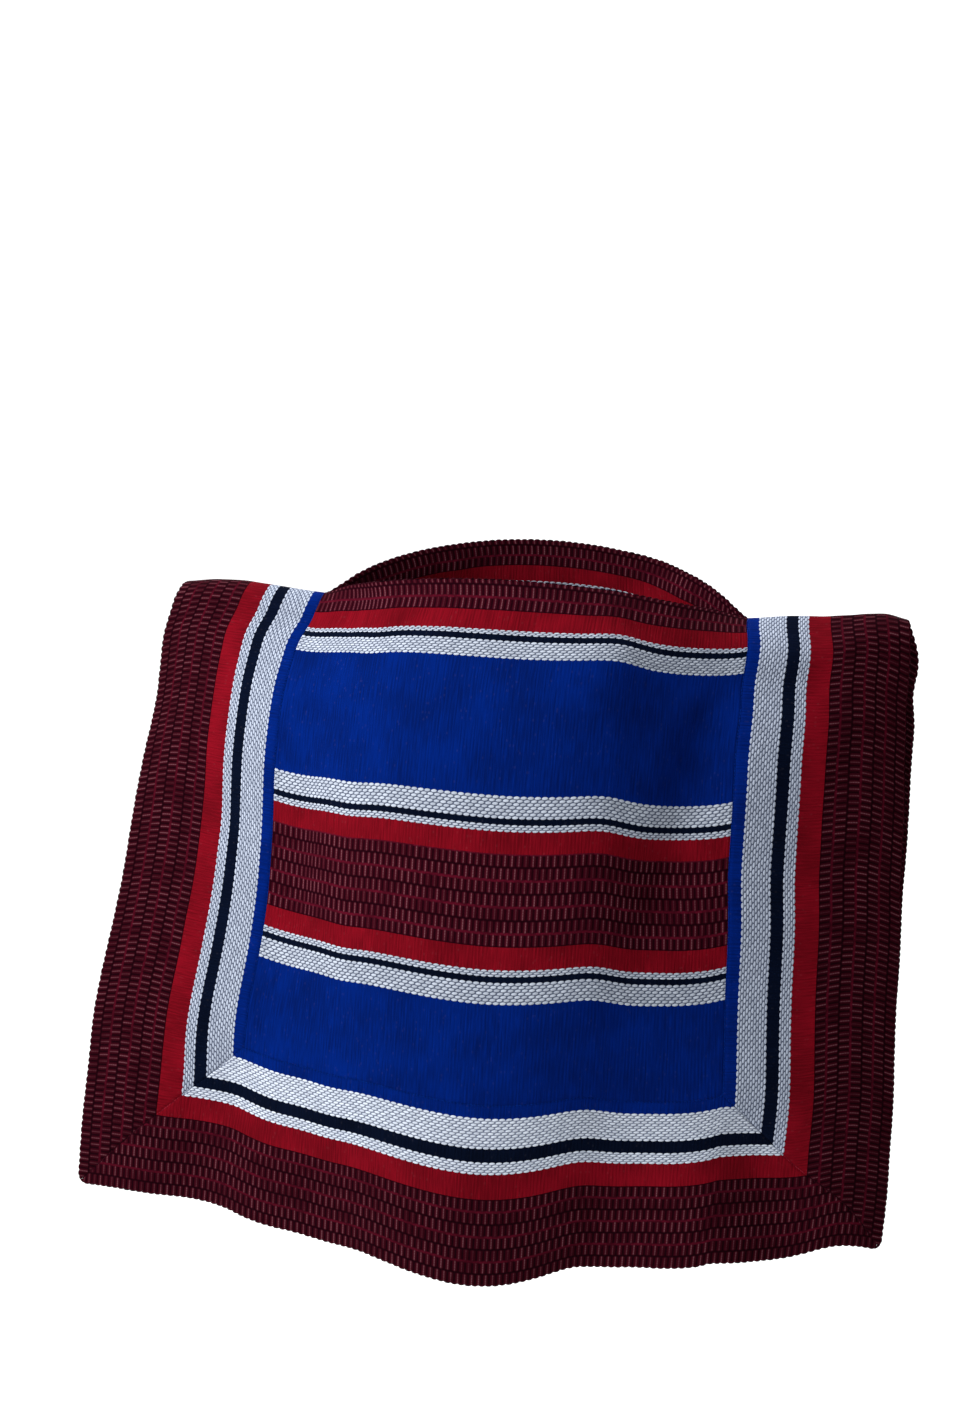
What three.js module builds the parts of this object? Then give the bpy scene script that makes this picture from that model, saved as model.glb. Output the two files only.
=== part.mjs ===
// A striped woven poncho in the shape it takes when it is worn.
// Units are millimetres, +Z is up, the front faces -Y and the wearer's left is +X.
// The origin lies midway between the shoulders, at the height of the shoulder fold.
//
// The cloth is described flat first. "Across" runs from -HALF_WIDTH at the wearer's right
// to +HALF_WIDTH at the wearer's left. "Down" runs from the shoulder fold to the hem.
// A table of sections gives how far each part of the cloth stands out from the shoulder
// line. The drape then keeps the length of the threads in both directions.
import * as THREE from 'three';

// Sizes of the flat cloth.
const LENGTH = 378;
const PANEL_HALF = 140;
const BAND_WIDTH = 97.5;
const HALF_WIDTH = PANEL_HALF + BAND_WIDTH;
const PANEL_LENGTH = LENGTH - BAND_WIDTH;
const WALL = 2;
const SEAM_GAP = 0.3;
const NECK_END_GAP = 1.2;
const CORNER_RADIUS = 6;

// Mesh steps, as counts of cells.
const PANEL_CELLS_ACROSS = 36;
const BAND_CELLS_ACROSS = 8;
const HEM_CELLS_ACROSS = 36;
const HEM_CELLS_DOWN = 8;
const FOLD_STEPS = [0, 3, 6, 9, 13, 18, 24, 31, 39, 48];
const DOWN_CELLS_BELOW_FOLD = 18;

// Steps of the fine net on which the drape is worked out.
const NET_ACROSS = 2.5;
const NET_DOWN = 1;
const NET_ROUNDS = 6;

// Sections of the cloth, from its right edge to its left edge as it is worn.
// Each row is one section: its distance below the shoulder fold, then how far
// the cloth stands out from the shoulder line in each of the nine columns.
const COLUMN_ACROSS = [
  -HALF_WIDTH, -190, -PANEL_HALF, -70, 0, 70, PANEL_HALF, 190, HALF_WIDTH,
];
const SECTION_COLUMNS = [
  'down', 'edge', 'band', 'seam', 'mid', 'centre', 'mid', 'seam', 'band', 'edge',
];
const FRONT_SECTIONS = [
  [0, -24, -11, 0, 41, 56, 39, 0, -5, -12],
  [20, -24, -11, 0, 47, 61, 51, -1, -8, -12],
  [40, -21, -6, 8, 56, 69, 61, 0, -4, -9],
  [70, -14, 4, 22, 68, 81, 71, 12, 6, -3],
  [110, 1, 17, 36, 80, 92, 80, 23, 14, 5],
  [160, 18, 29, 45, 89, 100, 88, 31, 21, 12],
  [220, 32, 41, 52, 93, 105, 92, 37, 27, 18],
  [300, 47, 55, 63, 93, 104, 89, 44, 35, 25],
  [380, 56, 63, 69, 91, 102, 84, 50, 41, 30],
];
const BACK_SECTIONS = [
  [0, 24, 11, 0, 36, 48, 36, 0, 5, 12],
  [20, 24, 11, 0, 44, 57, 44, -3, 3, 12],
  [40, 25, 14, 8, 55, 67, 55, -5, 1, 12],
  [70, 28, 19, 20, 66, 77, 66, 7, 6, 12],
  [110, 31, 26, 31, 74, 84, 74, 18, 11, 13],
  [160, 33, 31, 38, 77, 87, 77, 25, 15, 13],
  [220, 35, 34, 43, 76, 87, 77, 29, 18, 14],
  [300, 38, 38, 47, 73, 84, 74, 32, 21, 16],
  [380, 41, 41, 50, 71, 81, 71, 36, 23, 19],
];

// Height of the shoulder fold along the bands, and of the two neck edges.
const SHOULDER_LINE = [
  { across: -237.5, height: -4 },
  { across: -214, height: 3 },
  { across: -180, height: 3 },
  { across: -140, height: 0 },
  { across: 140, height: 1 },
  { across: 180, height: 5 },
  { across: 212, height: 8 },
  { across: 237.5, height: -3 },
];
const FRONT_NECK = [
  { across: -140, height: 0 },
  { across: -100, height: 8.5 },
  { across: -50, height: 16 },
  { across: 0, height: 19 },
  { across: 50, height: 16 },
  { across: 100, height: 8 },
  { across: 140, height: 1 },
];
const BACK_NECK = [
  { across: -140, height: 0 },
  { across: -100, height: 17 },
  { across: -50, height: 29 },
  { across: 0, height: 33 },
  { across: 50, height: 29 },
  { across: 100, height: 17.5 },
  { across: 140, height: 1 },
];

// Roundness of the shoulder fold, and the slack that lets the middle hang a little longer.
const FOLD_RADIUS = [
  { across: -237.5, radius: 14 },
  { across: -140, radius: 12 },
  { across: 140, radius: 28 },
  { across: 237.5, radius: 12 },
];
const SLACK = [
  { across: -237.5, share: -0.035 },
  { across: -190, share: -0.025 },
  { across: -140, share: -0.022 },
  { across: -70, share: 0.008 },
  { across: 0, share: 0.032 },
  { across: 70, share: 0.006 },
  { across: 140, share: -0.012 },
  { across: 190, share: -0.022 },
  { across: 237.5, share: -0.05 },
];

// Sideways place of the middle thread, as the cloth hangs a little to one side.
const FRONT_SWAY = [
  { down: 0, shift: -1.5 },
  { down: 30, shift: -5 },
  { down: 100, shift: -6 },
  { down: 200, shift: -6 },
  { down: 300, shift: -8 },
  { down: 380, shift: -9 },
];
const BACK_SWAY = [
  { down: 0, shift: -1.5 },
  { down: 40, shift: -3 },
  { down: 150, shift: -4 },
  { down: 260, shift: -8 },
  { down: 380, shift: -13 },
];
const SEAM_AT_FOLD = { right: -125, left: 121 };
const FOLD_REACH = 45;

// Soft folds. Each runs from one place across, at its start, to another at its end.
// Depth is how far it sinks towards the body, so a negative depth stands out.
const FRONT_FOLDS = [
  { name: 'shoulder trough', from: 132, to: 92, start: 45, end: 205, width: 17, depth: 5 },
  { name: 'seam trough', from: -116, to: -120, start: 35, end: 250, width: 15, depth: 3 },
  { name: 'hem trough', from: -140, to: -172, start: 250, end: 430, width: 26, depth: 7 },
  { name: 'hem swell', from: -20, to: -8, start: 270, end: 430, width: 60, depth: -5 },
  { name: 'corner trough', from: 150, to: 196, start: 265, end: 430, width: 22, depth: 5 },
  { name: 'neck ripple', from: -88, to: -70, start: -14, end: 34, width: 15, depth: -2.5 },
  { name: 'neck dip', from: 62, to: 76, start: -14, end: 36, width: 16, depth: 2 },
];
const BACK_FOLDS = [
  { name: 'blade trough', from: -92, to: -112, start: 30, end: 260, width: 22, depth: 6 },
  { name: 'other blade trough', from: 96, to: 78, start: 40, end: 230, width: 20, depth: 6 },
  { name: 'middle trough', from: 14, to: 34, start: 190, end: 430, width: 30, depth: 6 },
  { name: 'hem trough', from: -150, to: -128, start: 250, end: 430, width: 24, depth: 6 },
  { name: 'neck ripple', from: 66, to: 58, start: -14, end: 36, width: 16, depth: -2.5 },
];

// Small pulls of the front, where the bands and the hem hang out of line with the rest.
// Each moves the cloth most at its own place and fades over its reach both ways.
const FRONT_PULLS = [
  { name: 'right hem corner', across: -200, down: 335, wide: 110, tall: 95, x: -5.5, z: -1.5 },
  { name: 'left hem corner', across: 205, down: 330, wide: 110, tall: 95, x: 5.5, z: 2 },
  { name: 'left corner tip', across: 237.5, down: 378, wide: 60, tall: 70, x: 2, z: 5 },
  { name: 'right shoulder edge', across: -237.5, down: 60, wide: 70, tall: 60, x: 1, z: -2 },
  { name: 'left edge', across: 237.5, down: 160, wide: 80, tall: 90, x: 3, z: 0 },
  { name: 'right band', across: -170, down: 80, wide: 75, tall: 55, x: -4, z: 0 },
  { name: 'middle hem', across: 42, down: 378, wide: 55, tall: 80, x: 0, z: -6 },
  { name: 'right hem', across: -214, down: 378, wide: 26, tall: 70, x: 0, z: -4 },
  { name: 'left hem', across: 104, down: 378, wide: 45, tall: 75, x: 0, z: 3.5 },
];
const BACK_PULLS = [];
const PULL_START = 40;

// A smooth curve through given points. The slope at each point follows its neighbours.
// An end slope can be given instead, for a curve that joins another one.
function smoothCurve(places, values, at, firstSlope = null, lastSlope = null) {
  const last = places.length - 1;
  const rise = (i) => (values[i + 1] - values[i]) / (places[i + 1] - places[i]);
  const slope = (i) => {
    if (i === 0) return firstSlope ?? rise(0);
    if (i === last) return lastSlope ?? rise(last - 1);
    const before = places[i] - places[i - 1];
    const after = places[i + 1] - places[i];
    return (rise(i - 1) * after + rise(i) * before) / (before + after);
  };
  let i = 0;
  while (i < last - 1 && at > places[i + 1]) i += 1;
  const step = places[i + 1] - places[i];
  const t = Math.min(Math.max((at - places[i]) / step, 0), 1);
  const t2 = t * t;
  const t3 = t2 * t;
  return (2 * t3 - 3 * t2 + 1) * values[i] + (t3 - 2 * t2 + t) * step * slope(i)
    + (3 * t2 - 2 * t3) * values[i + 1] + (t3 - t2) * step * slope(i + 1);
}

function fromTable(table, key, value, at) {
  return smoothCurve(table.map((row) => row[key]), table.map((row) => row[value]), at);
}

// Height of the cloth's top line: the neck edge between the seams, the fold beyond them.
function topHeight(across, neck) {
  if (Math.abs(across) < PANEL_HALF) return fromTable(neck, 'across', 'height', across);
  const half = SHOULDER_LINE.filter((row) => Math.sign(row.across) === Math.sign(across));
  return fromTable(half, 'across', 'height', across);
}

// How much of the round shoulder fold the cloth follows: all beyond the seams, none mid-neck.
function foldShare(across) {
  const t = Math.min(Math.max((Math.abs(across) / PANEL_HALF - 0.5) * 2, 0), 1);
  return t * t * (3 - 2 * t);
}

function softStep(t) {
  const c = Math.min(Math.max(t, 0), 1);
  return c * c * (3 - 2 * c);
}

function foldDepth(folds, across, down) {
  let depth = 0;
  for (const fold of folds) {
    const along = (down - fold.start) / (fold.end - fold.start);
    if (along > 0 && along < 1) {
      const line = fold.from + (fold.to - fold.from) * along;
      const away = (across - line) / fold.width;
      const ends = softStep(along * 3) * softStep((1 - along) * 3);
      depth += fold.depth * ends * Math.exp(-away * away);
    }
  }
  return depth;
}

// One section of the cloth at a distance down, as values in the nine columns.
function sectionAt(sections, down) {
  const places = sections.map((row) => row[0]);
  return COLUMN_ACROSS.map((_, column) => {
    const values = sections.map((row) => row[column + 1]);
    return smoothCurve(places, values, down);
  });
}

// The depth of one point of a section. The panel joins the bands in one smooth line,
// apart from the neck corners, where the cloth turns sharply.
function acrossSection(section, across, down) {
  const left = 2;
  const right = 6;
  const rise = (i) => (section[i + 1] - section[i]) / (COLUMN_ACROSS[i + 1] - COLUMN_ACROSS[i]);
  const sharp = Math.exp(-down / 25);
  if (across <= -PANEL_HALF) {
    return smoothCurve(COLUMN_ACROSS.slice(0, 3), section.slice(0, 3), across);
  }
  if (across >= PANEL_HALF) {
    return smoothCurve(COLUMN_ACROSS.slice(6), section.slice(6), across);
  }
  const first = rise(left - 1) + (rise(left) - rise(left - 1)) * sharp;
  const last = rise(right) + (rise(right - 1) - rise(right)) * sharp;
  return smoothCurve(COLUMN_ACROSS.slice(2, 7), section.slice(2, 7), across, first, last);
}

// The drape: a fine net of points whose threads keep their length both ways.
function drape(sections, folds, neck, sway, pulls, facing) {
  const columns = Math.round((2 * HALF_WIDTH) / NET_ACROSS) + 1;
  const rows = Math.round(LENGTH / NET_DOWN) + 1;
  const middle = (columns - 1) / 2;
  const at = (row, column) => row * columns + column;
  const out = new Float64Array(rows * columns);
  const x = new Float64Array(rows * columns);
  const z = new Float64Array(rows * columns);
  const slack = new Float64Array(columns);
  const top = new Float64Array(columns);
  for (let c = 0; c < columns; c += 1) {
    const across = c * NET_ACROSS - HALF_WIDTH;
    slack[c] = 1 + fromTable(SLACK, 'across', 'share', across);
    top[c] = topHeight(across, neck);
  }
  for (let r = 0; r < rows; r += 1) {
    const down = r * NET_DOWN;
    const section = sectionAt(sections, down);
    for (let c = 0; c < columns; c += 1) {
      const across = c * NET_ACROSS - HALF_WIDTH;
      const radius = fromTable(FOLD_RADIUS, 'across', 'radius', across);
      const round = radius * Math.sin(Math.min(down / radius, Math.PI / 2));
      out[at(r, c)] = acrossSection(section, across, down) + round * foldShare(across)
        - foldDepth(folds, across, down);
      x[at(r, c)] = across;
      z[at(r, c)] = top[c] - down;
    }
  }
  const change = (values, row, column, rowStep, columnStep) => {
    const r0 = Math.max(row - rowStep, 0);
    const r1 = Math.min(row + rowStep, rows - 1);
    const c0 = Math.max(column - columnStep, 0);
    const c1 = Math.min(column + columnStep, columns - 1);
    const span = (r1 - r0) * NET_DOWN + (c1 - c0) * NET_ACROSS;
    return (values[at(r1, c1)] - values[at(r0, c0)]) / span;
  };
  const spread = new Float64Array(columns);
  const drop = new Float64Array(rows);
  for (let round = 0; round < NET_ROUNDS; round += 1) {
    for (let r = 0; r < rows; r += 1) {
      for (let c = 0; c < columns; c += 1) {
        const outward = change(out, r, c, 0, 1);
        const upward = change(z, r, c, 0, 1);
        spread[c] = Math.sqrt(Math.max(1 - outward ** 2 - upward ** 2, 0.04));
      }
      x[at(r, middle)] = fromTable(sway, 'down', 'shift', r * NET_DOWN);
      for (let c = middle + 1; c < columns; c += 1) {
        x[at(r, c)] = x[at(r, c - 1)] + ((spread[c] + spread[c - 1]) / 2) * NET_ACROSS;
      }
      for (let c = middle - 1; c >= 0; c -= 1) {
        x[at(r, c)] = x[at(r, c + 1)] - ((spread[c] + spread[c + 1]) / 2) * NET_ACROSS;
      }
    }
    // Both layers share the fold beyond the neck, so the seams meet it at one place.
    const seamColumn = Math.round((HALF_WIDTH - PANEL_HALF) / NET_ACROSS);
    for (let r = 0; r < rows; r += 1) {
      const fade = 1 - softStep((r * NET_DOWN) / FOLD_REACH);
      const offRight = (x[at(r, seamColumn)] - SEAM_AT_FOLD.right) * fade;
      const offLeft = (x[at(r, columns - 1 - seamColumn)] - SEAM_AT_FOLD.left) * fade;
      for (let c = 0; c < columns; c += 1) {
        const t = (c * NET_ACROSS - HALF_WIDTH + PANEL_HALF) / (2 * PANEL_HALF);
        const share = Math.min(Math.max(t, 0), 1);
        x[at(r, c)] -= offRight + (offLeft - offRight) * share;
      }
    }
    for (let c = 0; c < columns; c += 1) {
      for (let r = 0; r < rows; r += 1) {
        const outward = change(out, r, c, 1, 0);
        const sideways = change(x, r, c, 1, 0);
        drop[r] = Math.sqrt(Math.max(slack[c] ** 2 - outward ** 2 - sideways ** 2, 0));
      }
      z[at(0, c)] = top[c];
      for (let r = 1; r < rows; r += 1) {
        z[at(r, c)] = z[at(r - 1, c)] - ((drop[r] + drop[r - 1]) / 2) * NET_DOWN;
      }
    }
  }
  for (let r = 0; r < rows; r += 1) {
    for (let c = 0; c < columns; c += 1) {
      for (const pull of pulls) {
        const sideways = (c * NET_ACROSS - HALF_WIDTH - pull.across) / pull.wide;
        const lengthways = (r * NET_DOWN - pull.down) / pull.tall;
        const share = Math.exp(-(sideways ** 2) - lengthways ** 2)
          * softStep((r * NET_DOWN) / PULL_START);
        x[at(r, c)] += pull.x * share;
        z[at(r, c)] += pull.z * share;
      }
    }
  }
  return (across, down) => {
    const column = Math.min(Math.max((across + HALF_WIDTH) / NET_ACROSS, 0), columns - 1.000001);
    const row = Math.min(Math.max(down / NET_DOWN, 0), rows - 1.000001);
    const c = Math.floor(column);
    const r = Math.floor(row);
    const s = column - c;
    const t = row - r;
    const blend = (values) => (
      (values[at(r, c)] * (1 - s) + values[at(r, c + 1)] * s) * (1 - t)
      + (values[at(r + 1, c)] * (1 - s) + values[at(r + 1, c + 1)] * s) * t
    );
    return new THREE.Vector3(blend(x), facing * blend(out), blend(z));
  };
}

const frontCloth = drape(FRONT_SECTIONS, FRONT_FOLDS, FRONT_NECK, FRONT_SWAY, FRONT_PULLS, -1);
const backCloth = drape(BACK_SECTIONS, BACK_FOLDS, BACK_NECK, BACK_SWAY, BACK_PULLS, 1);

// A point of the whole cloth. Down is positive on the front and negative on the back.
function clothPoint(across, down) {
  return down >= 0 ? frontCloth(across, down) : backCloth(across, -down);
}

// The outward direction of the cloth, measured on one layer or across the shoulder fold.
function clothNormal(across, down, crossesFold) {
  const reach = 1.5;
  const a0 = Math.max(across - reach, -HALF_WIDTH);
  const a1 = Math.min(across + reach, HALF_WIDTH);
  let d0 = Math.max(down - reach, -LENGTH);
  let d1 = Math.min(down + reach, LENGTH);
  if (!crossesFold && down > 0) d0 = Math.max(d0, 0);
  if (!crossesFold && down < 0) d1 = Math.min(d1, -0.000001);
  const alongAcross = clothPoint(a1, down).sub(clothPoint(a0, down));
  const alongDown = clothPoint(across, d1).sub(clothPoint(across, d0));
  return alongDown.cross(alongAcross).normalize();
}

// The hem corners of the cloth are a little rounded.
function roundCorner(across, down) {
  const overAcross = Math.abs(across) - (HALF_WIDTH - CORNER_RADIUS);
  const overDown = Math.abs(down) - (LENGTH - CORNER_RADIUS);
  if (overAcross <= 0 || overDown <= 0) return [across, down];
  const shrink = Math.max(overAcross, overDown) / Math.hypot(overAcross, overDown);
  return [
    Math.sign(across) * (HALF_WIDTH - CORNER_RADIUS + overAcross * shrink),
    Math.sign(down) * (LENGTH - CORNER_RADIUS + overDown * shrink),
  ];
}

// A closed wall of cloth over a grid of flat places.
function wallGeometry(cellsAlong, cellsUp, flatPlace, crossesFold = false) {
  const columns = cellsAlong + 1;
  const rows = cellsUp + 1;
  const outer = [];
  const inner = [];
  for (let r = 0; r < rows; r += 1) {
    for (let c = 0; c < columns; c += 1) {
      const [flatAcross, flatDown] = flatPlace(c / cellsAlong, r);
      const [across, down] = roundCorner(flatAcross, flatDown);
      const middle = clothPoint(across, down);
      const normal = clothNormal(across, down, crossesFold);
      outer.push(middle.clone().addScaledVector(normal, WALL / 2));
      inner.push(middle.clone().addScaledVector(normal, -WALL / 2));
    }
  }
  const count = rows * columns;
  const at = (r, c) => r * columns + c;
  const faces = [];
  const quad = (a, b, c, d) => faces.push(a, b, c, a, c, d);
  for (let r = 0; r < cellsUp; r += 1) {
    for (let c = 0; c < cellsAlong; c += 1) {
      quad(at(r, c), at(r, c + 1), at(r + 1, c + 1), at(r + 1, c));
      quad(
        count + at(r, c), count + at(r + 1, c), count + at(r + 1, c + 1), count + at(r, c + 1),
      );
    }
  }
  for (let c = 0; c < cellsAlong; c += 1) {
    quad(at(0, c), count + at(0, c), count + at(0, c + 1), at(0, c + 1));
    quad(
      at(cellsUp, c), at(cellsUp, c + 1), count + at(cellsUp, c + 1), count + at(cellsUp, c),
    );
  }
  for (let r = 0; r < cellsUp; r += 1) {
    quad(at(r, 0), at(r + 1, 0), count + at(r + 1, 0), count + at(r, 0));
    quad(
      at(r, cellsAlong), count + at(r, cellsAlong),
      count + at(r + 1, cellsAlong), at(r + 1, cellsAlong),
    );
  }
  const points = [...outer, ...inner];
  let volume = 0;
  for (let i = 0; i < faces.length; i += 3) {
    const [a, b, c] = [points[faces[i]], points[faces[i + 1]], points[faces[i + 2]]];
    volume += a.dot(b.clone().cross(c));
  }
  if (volume < 0) faces.reverse();
  const geometry = new THREE.BufferGeometry();
  const flat = points.flatMap((p) => [p.x, p.y, p.z]);
  geometry.setAttribute('position', new THREE.Float32BufferAttribute(flat, 3));
  geometry.setIndex(faces);
  geometry.computeVertexNormals();
  return geometry;
}

// Rows down from the shoulder fold: close together on the fold, then even.
function rowsDown(end) {
  const lastNear = FOLD_STEPS[FOLD_STEPS.length - 1];
  const rows = [...FOLD_STEPS];
  for (let i = 1; i <= DOWN_CELLS_BELOW_FOLD; i += 1) {
    rows.push(lastNear + ((end - lastNear) * i) / DOWN_CELLS_BELOW_FOLD);
  }
  return rows;
}

// Front or back panel: from the neck edge to the seam of the hem band.
function panelGeometry(side) {
  const half = PANEL_HALF - SEAM_GAP / 2;
  const start = NECK_END_GAP / 2;
  const end = PANEL_LENGTH - SEAM_GAP / 2;
  const rows = rowsDown(end);
  rows[0] = start;
  return wallGeometry(PANEL_CELLS_ACROSS, rows.length - 1, (s, r) => (
    [(2 * s - 1) * half, side * rows[r]]
  ));
}

// Side band: one strip from the front mitre, over the shoulder, to the back mitre.
function sideBandGeometry(side) {
  const rows = rowsDown(PANEL_LENGTH);
  const both = [...rows.slice(1).reverse(), ...rows.map((row) => -row)];
  const inset = SEAM_GAP / 2;
  return wallGeometry(BAND_CELLS_ACROSS, both.length - 1, (s, r) => {
    const across = PANEL_HALF + inset + s * (BAND_WIDTH - inset);
    const longer = (across - PANEL_HALF) - inset * Math.SQRT2;
    const stretch = (PANEL_LENGTH + longer) / PANEL_LENGTH;
    const nearFold = Math.min(Math.abs(both[r]) / PANEL_LENGTH, 1);
    return [side * across, both[r] * (1 + (stretch - 1) * nearFold)];
  }, true);
}

// Hem band: it widens to the mitres that it shares with the side bands.
function hemBandGeometry(side) {
  const inset = SEAM_GAP / 2;
  return wallGeometry(HEM_CELLS_ACROSS, HEM_CELLS_DOWN, (s, r) => {
    const down = inset + ((BAND_WIDTH - inset) * r) / HEM_CELLS_DOWN;
    const half = PANEL_HALF + down - inset * Math.SQRT2;
    return [(2 * s - 1) * half, side * (PANEL_LENGTH + down)];
  });
}

function piece(name, geometry, colour) {
  const material = new THREE.MeshStandardMaterial({ color: colour, roughness: 0.9, metalness: 0 });
  material.name = `${name}_cloth`;
  const mesh = new THREE.Mesh(geometry, material);
  mesh.name = name;
  return mesh;
}

const BLUE = 0x04267a;
const MAROON = 0x4a1728;

const poncho = new THREE.Group();
poncho.name = 'striped_poncho';
poncho.add(piece('front_panel', panelGeometry(1), BLUE));
poncho.add(piece('back_panel', panelGeometry(-1), BLUE));
poncho.add(piece('left_side_band', sideBandGeometry(1), MAROON));
poncho.add(piece('right_side_band', sideBandGeometry(-1), MAROON));
poncho.add(piece('front_hem_band', hemBandGeometry(1), MAROON));
poncho.add(piece('back_hem_band', hemBandGeometry(-1), MAROON));

export default poncho;
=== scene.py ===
"""Dressed view of a striped woven poncho in the shape it takes when it is worn.

The cloth is described flat, in millimetres. "Across" runs from the wearer's right edge
(negative) to the left edge. "Down" runs from the shoulder fold to the hem: positive on the
front and negative on the back. The drape is worked out as the model's source does it. The
smaller creases are added, the cloth settles a little on the shoulders, and every finished
mesh is in metres.
"""

import logging
import math
from dataclasses import dataclass, field
from enum import Enum

import bpy
import numpy as np
from mathutils import Matrix, Vector


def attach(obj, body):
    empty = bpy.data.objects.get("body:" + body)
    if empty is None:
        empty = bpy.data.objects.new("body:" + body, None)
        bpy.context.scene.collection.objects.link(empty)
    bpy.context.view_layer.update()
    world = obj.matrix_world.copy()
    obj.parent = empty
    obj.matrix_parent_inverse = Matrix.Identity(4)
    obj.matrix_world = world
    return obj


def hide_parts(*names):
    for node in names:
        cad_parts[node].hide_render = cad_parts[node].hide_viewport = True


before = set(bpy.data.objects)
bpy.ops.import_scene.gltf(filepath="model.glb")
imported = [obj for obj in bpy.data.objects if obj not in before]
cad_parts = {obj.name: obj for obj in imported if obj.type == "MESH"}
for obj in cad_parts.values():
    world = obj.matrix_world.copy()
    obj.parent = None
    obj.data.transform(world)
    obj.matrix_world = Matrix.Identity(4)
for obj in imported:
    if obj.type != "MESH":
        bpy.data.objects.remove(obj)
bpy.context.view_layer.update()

log = logging.getLogger("poncho")

Pair = tuple[float, float]

MM = 0.001
LENGTH = 378.0
PANEL_HALF = 140.0
BAND_WIDTH = 97.5
HALF_WIDTH = PANEL_HALF + BAND_WIDTH
PANEL_LENGTH = LENGTH - BAND_WIDTH
WALL = 2.0
SEAM_GAP = 0.3
NECK_END_GAP = 1.2
CORNER_RADIUS = 6.0

# The weave: one step of yarn, the maroon figure's rows, and one row of white loops.
THREAD_PITCH = 3.8
FIGURE_ROW = 6.86
FIGURE_ROWS = 7
FIGURE_THREADS = 5
LOOP_ROW = 3.1

# Whole steps added along the weave, so that no count of them falls below zero.
STEP_OFFSET = 400.0

# Places across at which the sections give a depth, and the ones that each part reads.
COLUMNS_ACROSS = (-HALF_WIDTH, -190.0, -PANEL_HALF, -70.0, 0.0, 70.0, PANEL_HALF, 190.0, HALF_WIDTH)
RIGHT_COLUMNS = slice(0, 3)
PANEL_COLUMNS = slice(2, 7)
LEFT_COLUMNS = slice(6, 9)

# How far down the kink between the bands and the panel fades out.
KINK_REACH = 25.0


class Side(Enum):
    """The two layers of the cloth, with the way each one faces along Y."""

    FRONT = -1
    BACK = 1


@dataclass(frozen=True)
class Fold:
    """A soft trough or ridge from one flat place to another; a negative depth stands out."""

    name: str
    start: Pair
    end: Pair
    width: float
    depth: float

    def sink(self, across: np.ndarray, down: np.ndarray) -> np.ndarray:
        """Gives how far the fold sinks at flat places.

        Args:
            across: places across the cloth.
            down: distances down from the shoulder fold.

        Returns:
            The depth at each place.
        """
        run = np.array(self.end) - np.array(self.start)
        length = float(np.hypot(*run))
        offset_across, offset_down = across - self.start[0], down - self.start[1]
        along = (offset_across * run[0] + offset_down * run[1]) / length**2
        away = (offset_across * run[1] - offset_down * run[0]) / length / self.width
        ends = soft_step(along * 3) * soft_step((1 - along) * 3)
        return self.depth * ends * np.exp(-(away**2))


@dataclass(frozen=True)
class Pull:
    """A small pull of the hanging cloth, most at its own place and less over its reach."""

    name: str
    across: float
    down: float
    wide: float
    tall: float
    sideways: float
    upward: float

    def share(self, across: np.ndarray, down: np.ndarray) -> np.ndarray:
        """Gives how much of the pull each point of the net takes.

        Args:
            across: the net's columns.
            down: the net's rows.

        Returns:
            Shares, rows by columns.
        """
        beside = ((across - self.across) / self.wide) ** 2
        below = ((down - self.down) / self.tall) ** 2
        started = soft_step(down / PULL_START)
        return np.exp(-beside[None, :] - below[:, None]) * started[:, None]


@dataclass(frozen=True)
class LayerShape:
    """How one layer of the cloth hangs.

    A section's row holds how far down it is, then its depth at each of COLUMNS_ACROSS. A fold's
    row holds its place across at its two ends, how far down they are, its width and its depth.
    The neck pairs places across with heights, and the sway pairs distances down with shifts.
    """

    side: Side
    sections: tuple[tuple[float, ...], ...]
    folds: tuple[tuple[float, ...], ...]
    neck: tuple[Pair, ...]
    sway: tuple[Pair, ...]
    pulls: tuple[Pull, ...] = ()


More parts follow.
